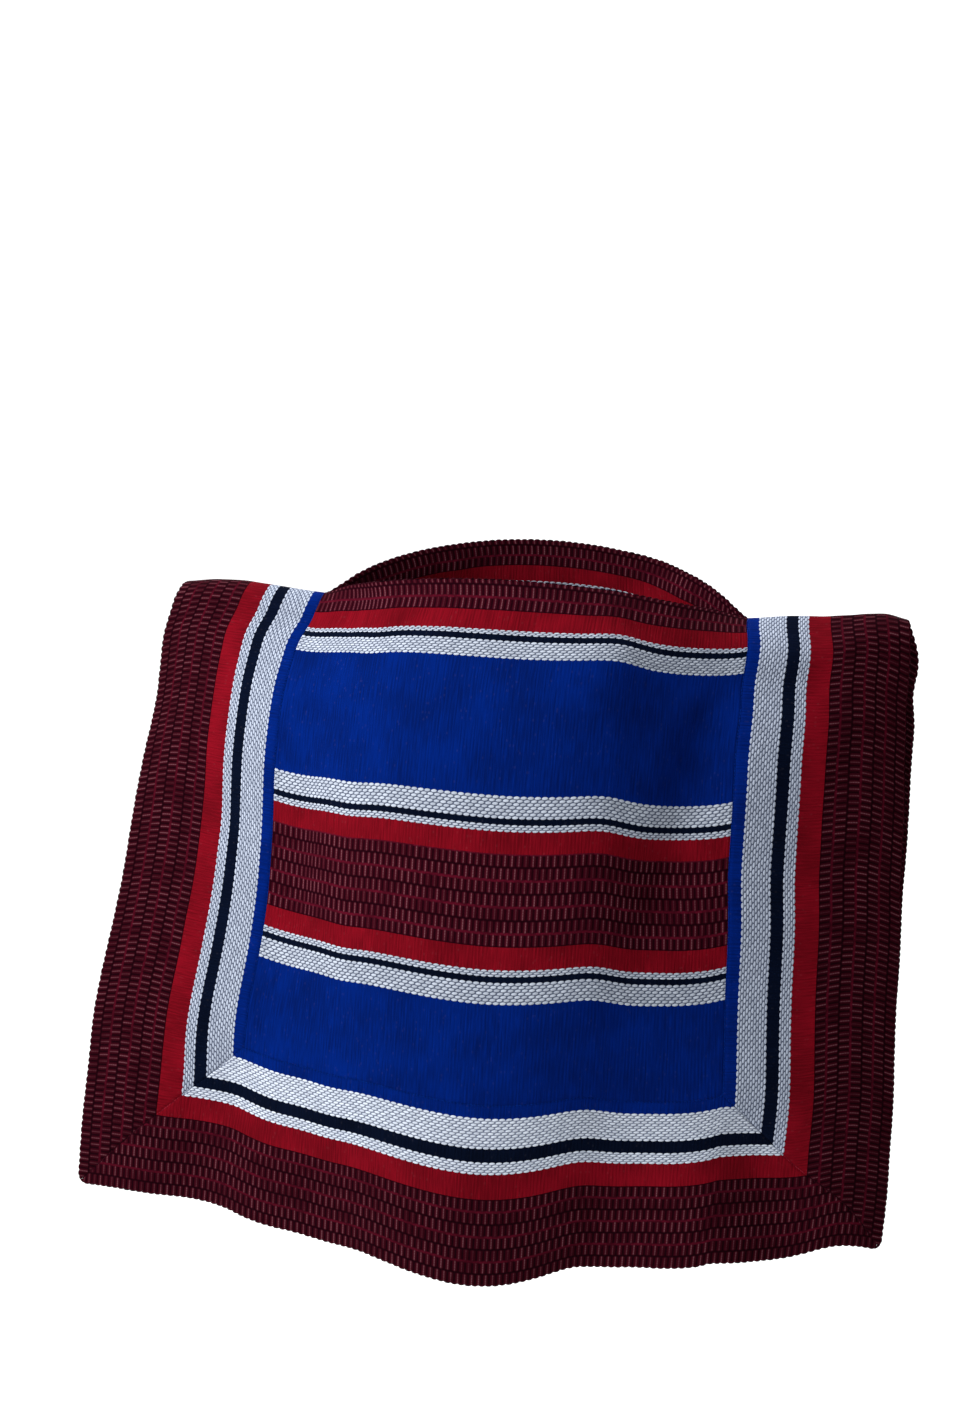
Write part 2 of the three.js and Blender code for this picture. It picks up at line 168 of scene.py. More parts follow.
FRONT_SHAPE = LayerShape(
    side=Side.FRONT,
    sections=(
        (0, -24, -11, 0, 41, 56, 39, 0, -5, -12),
        (20, -24, -11, 0, 47, 61, 51, -1, -8, -12),
        (40, -21, -6, 8, 56, 69, 61, 0, -4, -9),
        (70, -14, 4, 22, 68, 81, 71, 12, 6, -3),
        (110, 1, 17, 36, 80, 92, 80, 23, 14, 5),
        (160, 18, 29, 45, 89, 100, 88, 31, 21, 12),
        (220, 32, 41, 52, 93, 105, 92, 37, 27, 18),
        (300, 47, 55, 63, 93, 104, 89, 44, 35, 25),
        (380, 56, 63, 69, 91, 102, 84, 50, 41, 30),
    ),
    folds=(
        (132, 92, 45, 205, 17, 5),
        (-116, -120, 35, 250, 15, 3),
        (-140, -172, 250, 430, 26, 7),
        (-20, -8, 270, 430, 60, -5),
        (150, 196, 265, 430, 22, 5),
        (-88, -70, -14, 34, 15, -2.5),
        (62, 76, -14, 36, 16, 2),
    ),
    neck=((-140, 0), (-100, 8.5), (-50, 16), (0, 19), (50, 16), (100, 8), (140, 1)),
    sway=((0, -1.5), (30, -5), (100, -6), (200, -6), (300, -8), (380, -9)),
    pulls=(
        Pull("right hem corner", -200, 335, 110, 95, -5.5, -1.5),
        Pull("left hem corner", 205, 330, 110, 95, 5.5, 2),
        Pull("left corner tip", 237.5, 378, 60, 70, 2, 5),
        Pull("right shoulder edge", -237.5, 60, 70, 60, 1, -2),
        Pull("left edge", 237.5, 160, 80, 90, 3, 0),
        Pull("right band", -170, 80, 75, 55, -4, 0),
        Pull("middle hem", 42, 378, 55, 80, 0, -6),
        Pull("right hem", -214, 378, 26, 70, 0, -4),
        Pull("left hem", 104, 378, 45, 75, 0, 3.5),
    ),
)
BACK_SHAPE = LayerShape(
    side=Side.BACK,
    sections=(
        (0, 24, 11, 0, 36, 48, 36, 0, 5, 12),
        (20, 24, 11, 0, 44, 57, 44, -3, 3, 12),
        (40, 25, 14, 8, 55, 67, 55, -5, 1, 12),
        (70, 28, 19, 20, 66, 77, 66, 7, 6, 12),
        (110, 31, 26, 31, 74, 84, 74, 18, 11, 13),
        (160, 33, 31, 38, 77, 87, 77, 25, 15, 13),
        (220, 35, 34, 43, 76, 87, 77, 29, 18, 14),
        (300, 38, 38, 47, 73, 84, 74, 32, 21, 16),
        (380, 41, 41, 50, 71, 81, 71, 36, 23, 19),
    ),
    folds=(
        (-92, -112, 30, 260, 22, 6),
        (96, 78, 40, 230, 20, 6),
        (14, 34, 190, 430, 30, 6),
        (-150, -128, 250, 430, 24, 6),
        (66, 58, -14, 36, 16, -2.5),
    ),
    neck=((-140, 0), (-100, 17), (-50, 29), (0, 33), (50, 29), (100, 17.5), (140, 1)),
    sway=((0, -1.5), (40, -3), (150, -4), (260, -8), (380, -13)),
)
# At places across: height of the shoulder line, radius of the fold, and slack of the threads.
SHOULDER_RIGHT = ((-237.5, -4), (-214, 3), (-180, 3), (-140, 0))
SHOULDER_LEFT = ((140, 1), (180, 5), (212, 8), (237.5, -3))
FOLD_RADIUS = ((-237.5, 14), (-140, 12), (140, 28), (237.5, 12))
SLACK = (
    (-237.5, -0.035), (-190, -0.025), (-140, -0.022), (-70, 0.008), (0, 0.032),
    (70, 0.006), (140, -0.012), (190, -0.022), (237.5, -0.05),
)

# Where the seams cross the shoulder fold, and how far down that place holds them.
SEAM_AT_FOLD = (-125.0, 121.0)
FOLD_REACH = 45.0

# How far down the pulls reach their full size.
PULL_START = 40.0

# The least square of the cloth's spread, so that its root stays real on steep cloth.
LEAST_SPREAD = 0.04

# How far the cloth settles on the shoulders below the main form, at places across.
SHOULDER_DIP = (
    (-237.5, 0), (-225, 2.4), (-211, 4.2), (-190, 3.7), (-165, 3.5), (-140, 2.5), (-118, 0),
    (-100, 0), (100, 0), (118, 0), (140, 1.5), (165, 1.5), (178, 2.3), (191, 3.6), (205, 4.2),
    (214, 2.3), (224, -1.6), (237.5, -5.5),
)
DIP_REACH = 26.0

# The left edge is drawn in at the shoulder. The back layer flares out again below it.
EDGE_PULL = 6.0
EDGE_PULL_REACH = 110.0
BACK_FLARE = 0.6
BACK_FLARE_REACH = 26.0

# A faint waver of the whole cloth: its depth, and the length of its two waves each way.
WAVER_DEPTH = 0.28
WAVER_WAVES = ((17.3, 41.0), (-53.0, 23.7))
WAVER_START = 14.0
WAVER_REACH = 30.0

# How far down the small creases reach their full depth.
CREASE_REACH = 12.0

# Small creases that the cloth shows over its main folds, front first and then the back.
SMALL_CREASES = {
    Side.FRONT: (
        Fold("strap crease", (126, 50), (98, 118), 6.5, 1.3),
        Fold("strap ridge", (112, 44), (84, 112), 8.0, -0.8),
        Fold("waist crease", (104, 150), (88, 232), 9.0, 0.9),
        Fold("left seam pucker", (136, 60), (137, 270), 4.0, 0.5),
        Fold("right seam pucker", (-136, 40), (-137, 262), 4.0, 0.7),
        Fold("chest crease", (-126, 66), (-86, 92), 8.0, 0.8),
        Fold("neck pucker", (-118, -6), (-96, 44), 7.0, 0.9),
        Fold("neck ridge", (-44, -10), (-30, 40), 10.0, -0.7),
        Fold("other neck pucker", (34, -8), (48, 34), 8.0, 0.6),
        Fold("right hem crease", (-196, 262), (-160, 338), 9.0, 1.1),
        Fold("right hem ridge", (-222, 290), (-190, 352), 10.0, -0.8),
        Fold("middle hem crease", (-66, 290), (-92, 372), 14.0, 0.7),
        Fold("left hem crease", (88, 288), (110, 368), 14.0, 0.6),
        Fold("left corner crease", (206, 262), (176, 366), 9.0, 1.1),
        Fold("side band crease", (-214, 96), (-160, 176), 11.0, 1.0),
        Fold("side band ridge", (-226, 170), (-176, 236), 12.0, -0.8),
        Fold("other side crease", (222, 60), (176, 150), 10.0, 1.0),
    ),
    Side.BACK: (
        Fold("blade crease", (-120, 52), (-84, 150), 8.0, 1.2),
        Fold("other blade crease", (122, 48), (94, 132), 7.0, 1.2),
        Fold("blade ridge", (-96, 60), (-64, 150), 9.0, -0.8),
        Fold("right seam pucker", (-136, 40), (-137, 262), 4.0, 0.6),
        Fold("left seam pucker", (136, 50), (137, 266), 4.0, 0.6),
        Fold("neck pucker", (-62, -8), (-50, 40), 8.0, 0.8),
        Fold("other neck pucker", (96, -6), (84, 40), 8.0, 0.8),
        Fold("hem crease", (-40, 292), (-62, 400), 12.0, 1.1),
        Fold("left hem crease", (104, 288), (136, 392), 12.0, 1.1),
        Fold("side band crease", (-212, 120), (-168, 220), 11.0, 1.0),
        Fold("other side crease", (214, 150), (168, 240), 11.0, 1.0),
        Fold("corner crease", (196, 276), (176, 372), 10.0, 1.0),
    ),
}


def soft_step(value: np.ndarray) -> np.ndarray:
    """Eases values from 0 to 1.

    Args:
        value: numbers of any size.

    Returns:
        0 up to 0, 1 from 1 on, and a soft slope between.
    """
    held = np.clip(value, 0, 1)
    return held * held * (3 - 2 * held)


def smooth_curve(
    places: np.ndarray,
    values: np.ndarray,
    at: np.ndarray,
    first: np.ndarray | None = None,
    last: np.ndarray | None = None,
) -> np.ndarray:
    """Runs a smooth curve through points, with each slope set by its neighbours.

    Args:
        places: where the points stand.
        values: their values, one row a point.
        at: where to read the curve.
        first: slope at the first point, if it is given.
        last: slope at the last point, if it is given.

    Returns:
        The curve's values at those places.
    """
    places, values = np.asarray(places, float), np.asarray(values, float)
    at = np.atleast_1d(np.asarray(at, float))
    steps = np.diff(places)
    wide = (slice(None), None) if values.ndim > 1 else slice(None)
    rises = np.diff(values, axis=0) / steps[wide]
    slopes = np.empty_like(values)
    slopes[0] = rises[0] if first is None else first
    slopes[-1] = rises[-1] if last is None else last
    for i in range(1, len(places) - 1):
        total = steps[i - 1] + steps[i]
        slopes[i] = (rises[i - 1] * steps[i] + rises[i] * steps[i - 1]) / total
    i = np.clip(np.searchsorted(places, at, side="left") - 1, 0, len(places) - 2)
    t = np.clip((at - places[i]) / steps[i], 0, 1)[wide]
    step = steps[i][wide]
    return (
        (2 * t**3 - 3 * t**2 + 1) * values[i]
        + (t**3 - 2 * t**2 + t) * step * slopes[i]
        + (3 * t**2 - 2 * t**3) * values[i + 1]
        + (t**3 - t**2) * step * slopes[i + 1]
    )


def from_table(table: tuple[Pair, ...], at: np.ndarray) -> np.ndarray:
    """Reads a table of places and values as a smooth curve.

    Args:
        table: pairs of place and value.
        at: where to read it.

    Returns:
        The values there.
    """
    points = np.array(table, float)
    return smooth_curve(points[:, 0], points[:, 1], at)


@dataclass
class LayerDrape:
    """One layer of the cloth, worked out on a net whose threads keep their length."""

    shape: LayerShape
    step_across: float = 2.5
    step_down: float = 1.0
    rounds: int = 6
    net: np.ndarray = field(init=False, repr=False)

    def __post_init__(self) -> None:
        """Works out the net of points and adds one row of cells all round it."""
        net = self._hang()
        net = np.concatenate([2 * net[:1] - net[1:2], net, 2 * net[-1:] - net[-2:-1]], 0)
        self.net = np.concatenate(
            [2 * net[:, :1] - net[:, 1:2], net, 2 * net[:, -1:] - net[:, -2:-1]], 1
        )

    def _depths(self, across: np.ndarray, down: np.ndarray) -> np.ndarray:
        """Works out how far the layer stands out from the shoulder line.

        Args:
            across: the net's columns.
            down: the net's rows.

        Returns:
            The depth at each point of the net.
        """
        table = np.array(self.shape.sections, float)
        columns = np.array(COLUMNS_ACROSS)
        section = smooth_curve(table[:, 0], table[:, 1:], down)
        rise = np.diff(section, axis=1) / np.diff(columns)
        out = np.empty((len(down), len(across)))
        bands = ((across <= -PANEL_HALF, RIGHT_COLUMNS), (across >= PANEL_HALF, LEFT_COLUMNS))
        for here, kept in bands:
            out[:, here] = smooth_curve(columns[kept], section[:, kept].T, across[here]).T
        sharp = np.exp(-down / KINK_REACH)
        first = rise[:, 1] + (rise[:, 2] - rise[:, 1]) * sharp
        last = rise[:, 6] + (rise[:, 5] - rise[:, 6]) * sharp
        here, kept = np.abs(across) < PANEL_HALF, PANEL_COLUMNS
        panel = smooth_curve(columns[kept], section[:, kept].T, across[here], first, last)
        out[:, here] = panel.T
        radius = from_table(FOLD_RADIUS, across)
        share = soft_step((np.abs(across) / PANEL_HALF - 0.5) * 2)
        out += radius * np.sin(np.minimum(down[:, None] / radius, np.pi / 2)) * share
        for begin, finish, start, end, width, depth in self.shape.folds:
            along = (down - start) / (end - start)
            ends = soft_step(along * 3) * soft_step((1 - along) * 3)
            line = begin + (finish - begin) * along
            away = (across[None, :] - line[:, None]) / width
            out -= depth * ends[:, None] * np.exp(-(away**2))
        return out

    def _hang(self) -> np.ndarray:
        """Hangs the layer from its top line.

        Returns:
            The net's points, rows by columns by x, y and z.
        """
        across = np.arange(-HALF_WIDTH, HALF_WIDTH + 1e-9, self.step_across)
        down = np.arange(0, LENGTH + 1e-9, self.step_down)
        out = self._depths(across, down)
        top = np.where(
            np.abs(across) < PANEL_HALF,
            from_table(self.shape.neck, across),
            np.where(
                across < 0,
                from_table(SHOULDER_RIGHT, across),
                from_table(SHOULDER_LEFT, across),
            ),
        )
        slack = 1 + from_table(SLACK, across)
        sway = from_table(self.shape.sway, down)
        fade = 1 - soft_step(down / FOLD_REACH)
        share = np.clip((across + PANEL_HALF) / (2 * PANEL_HALF), 0, 1)
        middle = (len(across) - 1) // 2
        seam = int(round((HALF_WIDTH - PANEL_HALF) / self.step_across))
        out_across = np.gradient(out, self.step_across, axis=1)
        out_down = np.gradient(out, self.step_down, axis=0)
        height = top[None, :] - down[:, None]
        for _ in range(self.rounds):
            rise = np.gradient(height, self.step_across, axis=1)
            spread = np.sqrt(np.maximum(1 - out_across**2 - rise**2, LEAST_SPREAD))
            cells = (spread[:, 1:] + spread[:, :-1]) / 2 * self.step_across
            place = np.concatenate([np.zeros((len(down), 1)), np.cumsum(cells, 1)], 1)
            place = place - place[:, middle : middle + 1] + sway[:, None]
            off_right = (place[:, seam] - SEAM_AT_FOLD[0]) * fade
            off_left = (place[:, len(across) - 1 - seam] - SEAM_AT_FOLD[1]) * fade
            place -= off_right[:, None] + (off_left - off_right)[:, None] * share
            lean = np.gradient(place, self.step_down, axis=0)
            drop = np.sqrt(np.maximum(slack**2 - out_down**2 - lean**2, 0))
            cells = (drop[1:] + drop[:-1]) / 2 * self.step_down
            fall = np.concatenate([np.zeros((1, len(across))), np.cumsum(cells, 0)], 0)
            height = top[None, :] - fall
        for pull in self.shape.pulls:
            taken = pull.share(across, down)
            place = place + pull.sideways * taken
            height = height + pull.upward * taken
        return np.stack([place, self.shape.side.value * out, height], -1)

    def at(self, across: np.ndarray, down: np.ndarray) -> np.ndarray:
        """Reads the layer smoothly between the net's points.

        Args:
            across: places across the cloth.
            down: distances below the shoulder fold, from 0.

        Returns:
            The points, in millimetres.
        """
        rows, columns = self.net.shape[:2]
        row = np.clip(down / self.step_down, 0, rows - 3.000001)
        column = np.clip((across + HALF_WIDTH) / self.step_across, 0, columns - 3.000001)
        r, c = np.floor(row).astype(int), np.floor(column).astype(int)
        row_shares, column_shares = cubic_shares(row - r), cubic_shares(column - c)
        point = np.zeros(across.shape + (3,))
        for i, row_share in enumerate(row_shares):
            for j, column_share in enumerate(column_shares):
                point += (row_share * column_share)[..., None] * self.net[r + i, c + j]
        return point


def cubic_shares(t: np.ndarray) -> tuple[np.ndarray, ...]:
    """Gives the shares of four neighbouring points in a smooth curve.

    Args:
        t: how far along the middle one of the three steps, from 0 to 1.

    Returns:
        The four shares, which add up to 1.
    """
    return (
        (-(t**3) + 2 * t**2 - t) / 2,
        (3 * t**3 - 5 * t**2 + 2) / 2,
        (-3 * t**3 + 4 * t**2 + t) / 2,
        (t**3 - t**2) / 2,
    )


def round_corner(across: np.ndarray, down: np.ndarray) -> tuple[np.ndarray, np.ndarray]:
    """Pulls the four hem corners of the flat cloth in to a small radius.

    Args:
        across: places across the cloth.
        down: places down the cloth.

    Returns:
        The same places with the corners rounded.
    """
    over_across = np.abs(across) - (HALF_WIDTH - CORNER_RADIUS)
    over_down = np.abs(down) - (LENGTH - CORNER_RADIUS)
    corner = (over_across > 0) & (over_down > 0)
    reach = np.where(corner, np.hypot(over_across, over_down), 1)
    shrink = np.maximum(over_across, over_down) / reach
    rounded_across = np.sign(across) * (HALF_WIDTH - CORNER_RADIUS + over_across * shrink)
    rounded_down = np.sign(down) * (LENGTH - CORNER_RADIUS + over_down * shrink)
    return np.where(corner, rounded_across, across), np.where(corner, rounded_down, down)


@dataclass
class Cloth:
    """The whole draped cloth: both layers, with the small creases added."""

    front: LayerDrape = field(default_factory=lambda: LayerDrape(FRONT_SHAPE))
    back: LayerDrape = field(default_factory=lambda: LayerDrape(BACK_SHAPE))

    def main_form(self, across: np.ndarray, down: np.ndarray) -> np.ndarray:
        """Gives points of the cloth's main form.

        Args:
            across: places across the cloth.
            down: places down the cloth, negative on the back.

        Returns:
            The points, in millimetres.
        """
        on_front = (down >= 0)[..., None]
        hung = np.where(
            on_front,
            self.front.at(across, np.maximum(down, 0)),
            self.back.at(across, np.maximum(-down, 0)),
        )
        return hung + self.settle(across, down)

    @staticmethod
    def settle(across: np.ndarray, down: np.ndarray) -> np.ndarray:
        """Gives how the cloth shifts as it settles on the shoulders.

        Args:
            across: places across the cloth.
            down: places down the cloth, negative on the back.

        Returns:
            The shifts, in millimetres.
        """
        dip = from_table(SHOULDER_DIP, across) * np.exp(-((down / DIP_REACH) ** 2))
        near = 1 - soft_step(np.abs(down) / EDGE_PULL_REACH)
        steep = 1 - soft_step(np.abs(down) / BACK_FLARE_REACH)
        share = near + np.where(down >= 0, 0, BACK_FLARE) * (steep - near)
        pull = EDGE_PULL * soft_step((across - PANEL_HALF) / BAND_WIDTH) * share
        return np.stack([-pull, np.zeros(pull.shape), -dip], -1)

    def outward(
        self, across: np.ndarray, down: np.ndarray, over_fold: bool
    ) -> np.ndarray:
        """Gives the directions away from the wearer.

        Args:
            across: places across the cloth.
            down: places down the cloth.
            over_fold: True where the piece goes on over the shoulder fold.

        Returns:
            Unit directions.
        """
        reach = 1.5
        low = np.maximum(across - reach, -HALF_WIDTH)
        high = np.minimum(across + reach, HALF_WIDTH)
        above = np.maximum(down - reach, -LENGTH)
        below = np.minimum(down + reach, LENGTH)
        if not over_fold:
            above = np.where(down > 0, np.maximum(above, 0), above)
            below = np.where(down < 0, np.minimum(below, -1e-6), below)
        along_across = self.main_form(high, down) - self.main_form(low, down)
        along_down = self.main_form(across, below) - self.main_form(across, above)
        normal = np.cross(along_down, along_across)
        return normal / np.linalg.norm(normal, axis=-1, keepdims=True)

    def crease(self, across: np.ndarray, down: np.ndarray) -> np.ndarray:
        """Gives how far the small creases sink the cloth.

        Args:
            across: places across the cloth.
            down: places down the cloth.

        Returns:
            The depth at each place.
        """
        sunk = np.zeros(np.shape(across))
        for side, folds in SMALL_CREASES.items():
            here = down >= 0 if side is Side.FRONT else down < 0
            for fold in folds:
                sunk += np.where(here, fold.sink(across, np.abs(down)), 0)
        waves = [np.sin(across / wide + down / tall) for wide, tall in WAVER_WAVES]
        ease = soft_step((np.abs(down) - WAVER_START) / WAVER_REACH)
        waver = WAVER_DEPTH * waves[0] * waves[1] * ease
        return sunk * soft_step(np.abs(down) / CREASE_REACH) + waver

    def point(
        self, across: np.ndarray, down: np.ndarray, over_fold: bool = False
    ) -> tuple[np.ndarray, np.ndarray]:
        """Gives finished points of the cloth's middle layer.

        Args:
            across: places across the cloth.
            down: places down the cloth.
            over_fold: True where the piece goes on over the shoulder fold.

        Returns:
            The points and the directions away from the wearer.
        """
        across, down = round_corner(np.asarray(across, float), np.asarray(down, float))
        normal = self.outward(across, down, over_fold)
        sunk = self.crease(across, down)[..., None]
        return self.main_form(across, down) - normal * sunk, normal


def edge_lines(start: float, end: float, step: float, soft: Pair) -> np.ndarray:
    """Places grid lines evenly, with close ones where an edge is rounded.

    Args:
        start: place of the first line.
        end: place of the last line.
        step: widest gap between lines.
        soft: radius of the rounding at the start and at the end.

    Returns:
        The places of the lines.
    """
    close = 1 - np.cos(np.radians([0, 30, 60, 90]))
    first, last = start + soft[0] * close, end - soft[1] * close[::-1]
    count = max(int(math.ceil((last[0] - first[-1]) / step)), 1)
    return np.concatenate([first, np.linspace(first[-1], last[0], count + 1)[1:-1], last])


def edge_share(lines: np.ndarray, soft: Pair) -> np.ndarray:
    """Gives the share of the full thickness at each grid line.

    Args:
        lines: places of the lines.
        soft: radius of the rounding at the start and at the end.

    Returns:
        Shares from 0 on the edge to 1.
    """
    share = np.ones(len(lines))
    for distance, radius in ((lines - lines[0], soft[0]), (lines[-1] - lines, soft[1])):
        near = 1 - np.clip(distance / radius, 0, 1)
        share = np.minimum(share, np.sqrt(np.maximum(1 - near**2, 0)))
    return share


def lay_grid(
    columns: np.ndarray, rows: np.ndarray, sides: Pair, ends: Pair
) -> tuple[np.ndarray, np.ndarray, np.ndarray]:
    """Crosses columns with rows.

    Args:
        columns: places of the columns.
        rows: places of the rows.
        sides: radius of the rounding at the first and at the last column.
        ends: radius of the rounding at the first and at the last row.

    Returns:
        Each point's column, its row and its share of the full thickness.
    """
    share = np.minimum(*np.meshgrid(edge_share(columns, sides), edge_share(rows, ends)))
    return (*np.meshgrid(columns, rows), share)


def new_mesh(name: str, points: np.ndarray, faces: list[list[int]]) -> bpy.types.Object:
    """Makes a shown object from points and faces.

    Args:
        name: the object's name.
        points: its points, in millimetres.
        faces: its faces, as rows of point numbers.

    Returns:
        The new object, smooth shaded.
    """
    mesh = bpy.data.meshes.new(name)
    mesh.from_pydata((points * MM).tolist(), [], faces)
    mesh.validate()
    mesh.shade_smooth()
    piece = bpy.data.objects.new(name, mesh)
    bpy.context.scene.collection.objects.link(piece)
    return piece


SEAM_SOFT = 0.35
EDGE_SOFT = 0.95


@dataclass
class ClothPiece:
    """A closed shell of cloth over a grid of flat places."""

    name: str
    node: str
    slot: str
    cloth: Cloth
    cell: float = 2.0

    def grid(self) -> tuple[np.ndarray, np.ndarray, np.ndarray, np.ndarray]:
        """Gives the flat places, the thickness shares and the weave places of the grid."""
        raise NotImplementedError

    def over_fold(self) -> bool:
        """Says whether the piece goes on over the shoulder fold."""
        return False

    def build(self) -> bpy.types.Object:
        """Builds the shell and its weave map.

        Returns:
            The piece's object.
        """
        across, down, share, weave = self.grid()
        middle, normal = self.cloth.point(across, down, self.over_fold())
        half = (WALL / 2 * share)[..., None] * normal
        rows, columns = across.shape
        inside = np.zeros((rows, columns), bool)
        inside[1:-1, 1:-1] = True
        outer = np.arange(rows * columns).reshape(rows, columns)
        inner = outer.copy()
        inner[inside] = rows * columns + np.arange(inside.sum())
        points = np.concatenate([(middle + half).reshape(-1, 3), (middle - half)[inside]])
        places = np.concatenate([weave.reshape(-1, 2), weave[inside]]) * MM
        faces = np.concatenate([self._quads(outer), self._quads(inner)[:, ::-1]])
        if self._volume(points, faces) < 0:
            faces = faces[:, ::-1]
        piece = new_mesh(self.name, points, faces.tolist())
        layer = piece.data.uv_layers.new(name="weave")
        corners = np.empty(len(piece.data.loops), np.int64)
        piece.data.loops.foreach_get("vertex_index", corners)
        layer.data.foreach_set("uv", places[corners].astype(np.float32).ravel())
        return piece

    @staticmethod
    def _quads(numbers: np.ndarray) -> np.ndarray:
        """Joins a grid of point numbers into four-sided faces.

        Args:
            numbers: rows and columns of point numbers.

        Returns:
            One row of four numbers a face.
        """
        corners = (numbers[:-1, :-1], numbers[:-1, 1:], numbers[1:, 1:], numbers[1:, :-1])
        return np.stack([corner.ravel() for corner in corners], -1)

    @staticmethod
    def _volume(points: np.ndarray, faces: np.ndarray) -> float:
        """Measures the room inside the faces, negative when they point inwards.

        Args:
            points: the shell's points.
            faces: its four-sided faces.

        Returns:
            The signed volume.
        """
        a, b, c, d = (points[faces[:, i]] for i in range(4))
        return float(np.sum(np.cross(b, c) * a + np.cross(c, d) * a))


@dataclass
class Panel(ClothPiece):
    """The front or back panel, from its neck edge to the seam of the hem band."""

    side: Side = Side.FRONT

    def grid(self) -> tuple[np.ndarray, np.ndarray, np.ndarray, np.ndarray]:
        """Gives the flat places, the thickness shares and the weave places of the grid."""
        half = PANEL_HALF - SEAM_GAP / 2
        seams, ends = (SEAM_SOFT, SEAM_SOFT), (EDGE_SOFT, SEAM_SOFT)
        columns = edge_lines(-half, half, self.cell, seams)
        rows = edge_lines(NECK_END_GAP / 2, PANEL_LENGTH - SEAM_GAP / 2, self.cell, ends)
        across, down, share = lay_grid(columns, rows, seams, ends)
        return across, -self.side.value * down, share, np.stack([across, down], -1)


@dataclass
class SideBand(ClothPiece):
    """One side band, a strip from the front mitre over the shoulder to the back mitre."""

    left: bool = True

    def over_fold(self) -> bool:
        """Says that the band goes on over the shoulder fold."""
        return True

    def grid(self) -> tuple[np.ndarray, np.ndarray, np.ndarray, np.ndarray]:
        """Gives the flat places, the thickness shares and the weave places of the grid."""
        inset = SEAM_GAP / 2
        sides, ends = (SEAM_SOFT, EDGE_SOFT), (SEAM_SOFT, SEAM_SOFT)
        columns = edge_lines(inset, BAND_WIDTH, self.cell, sides)
        rows = edge_lines(-PANEL_LENGTH, PANEL_LENGTH, self.cell, ends)
        width, along, share = lay_grid(columns, rows, sides, ends)
        longer = width - inset * math.sqrt(2)
        stretch = longer / PANEL_LENGTH * np.abs(along) / PANEL_LENGTH
        down = along * (1 + stretch)
        across = (1 if self.left else -1) * (PANEL_HALF + width)
        return across, down, share, np.stack([down, width], -1)


@dataclass
class HemBand(ClothPiece):
    """The front or back hem band, between the mitres of the side bands.

    Its columns spread from -1 to 1, and half_length is about half of its length in the middle.
    """

    side: Side = Side.FRONT
    half_length: float = 190.0

    def grid(self) -> tuple[np.ndarray, np.ndarray, np.ndarray, np.ndarray]:
        """Gives the flat places, the thickness shares and the weave places of the grid."""
        inset = SEAM_GAP / 2
        seams, ends = (SEAM_SOFT / HALF_WIDTH, SEAM_SOFT / HALF_WIDTH), (SEAM_SOFT, EDGE_SOFT)
        columns = edge_lines(-1.0, 1.0, self.cell / self.half_length, seams)
        rows = edge_lines(inset, BAND_WIDTH, self.cell, ends)
        spread, width, share = lay_grid(columns, rows, seams, ends)
        across = spread * (PANEL_HALF + width - inset * math.sqrt(2))
        down = -self.side.value * (PANEL_LENGTH + width)
        return across, down, share, np.stack([across, width], -1)


@dataclass(frozen=True)
class LoopStyle:
    """A kind of yarn loop: its size along, across and outward, and how its rows are laid."""

    sizes: tuple[float, float, float]
    lifts: tuple[float, ...] = (0.0,)
    pitch: float = THREAD_PITCH
    slant: float = 0.0


STITCH = LoopStyle((1.08, 0.34, 0.3), lifts=(0.8, -0.8), pitch=THREAD_PITCH / 2, slant=6.0)
EDGE = LoopStyle((1.75, 0.5, 0.95))

# A loop's middle is a little wider than an oval's, and each loop's size varies by chance.
LOOP_BLUNT = 1.12
LOOP_VARIATION = 0.1
LOOP_SEED = 11

# How far ahead of a loop and behind it the direction of its row is read.
SIGHT = 0.8


def modelled_bead(name: str) -> tuple[np.ndarray, list[tuple[int, ...]]]:
    """Models one small loop of yarn, to be copied along seams and edges.

    Args:
        name: name for the modelled loop.

    Returns:
        Its points, about one unit in radius, and its faces.
    """
    bpy.ops.object.select_all(action="DESELECT")
    bpy.ops.mesh.primitive_uv_sphere_add(segments=8, ring_count=5, radius=1.0)
    bead = bpy.context.active_object
    bead.name = name
    bpy.ops.object.mode_set(mode="EDIT")
    bpy.ops.mesh.select_all(action="DESELECT")
    bpy.ops.object.mode_set(mode="OBJECT")
    for vertex in bead.data.vertices:
        vertex.select = abs(vertex.co.z) < 0.5
    bpy.ops.object.mode_set(mode="EDIT")
    bpy.ops.transform.resize(value=(LOOP_BLUNT, LOOP_BLUNT, 1.0))
    bpy.ops.object.mode_set(mode="OBJECT")
    points = np.array([vertex.co[:] for vertex in bead.data.vertices])
    faces = [tuple(face.vertices) for face in bead.data.polygons]
    mesh = bead.data
    bpy.data.objects.remove(bead)
    bpy.data.meshes.remove(mesh)
    return points, faces


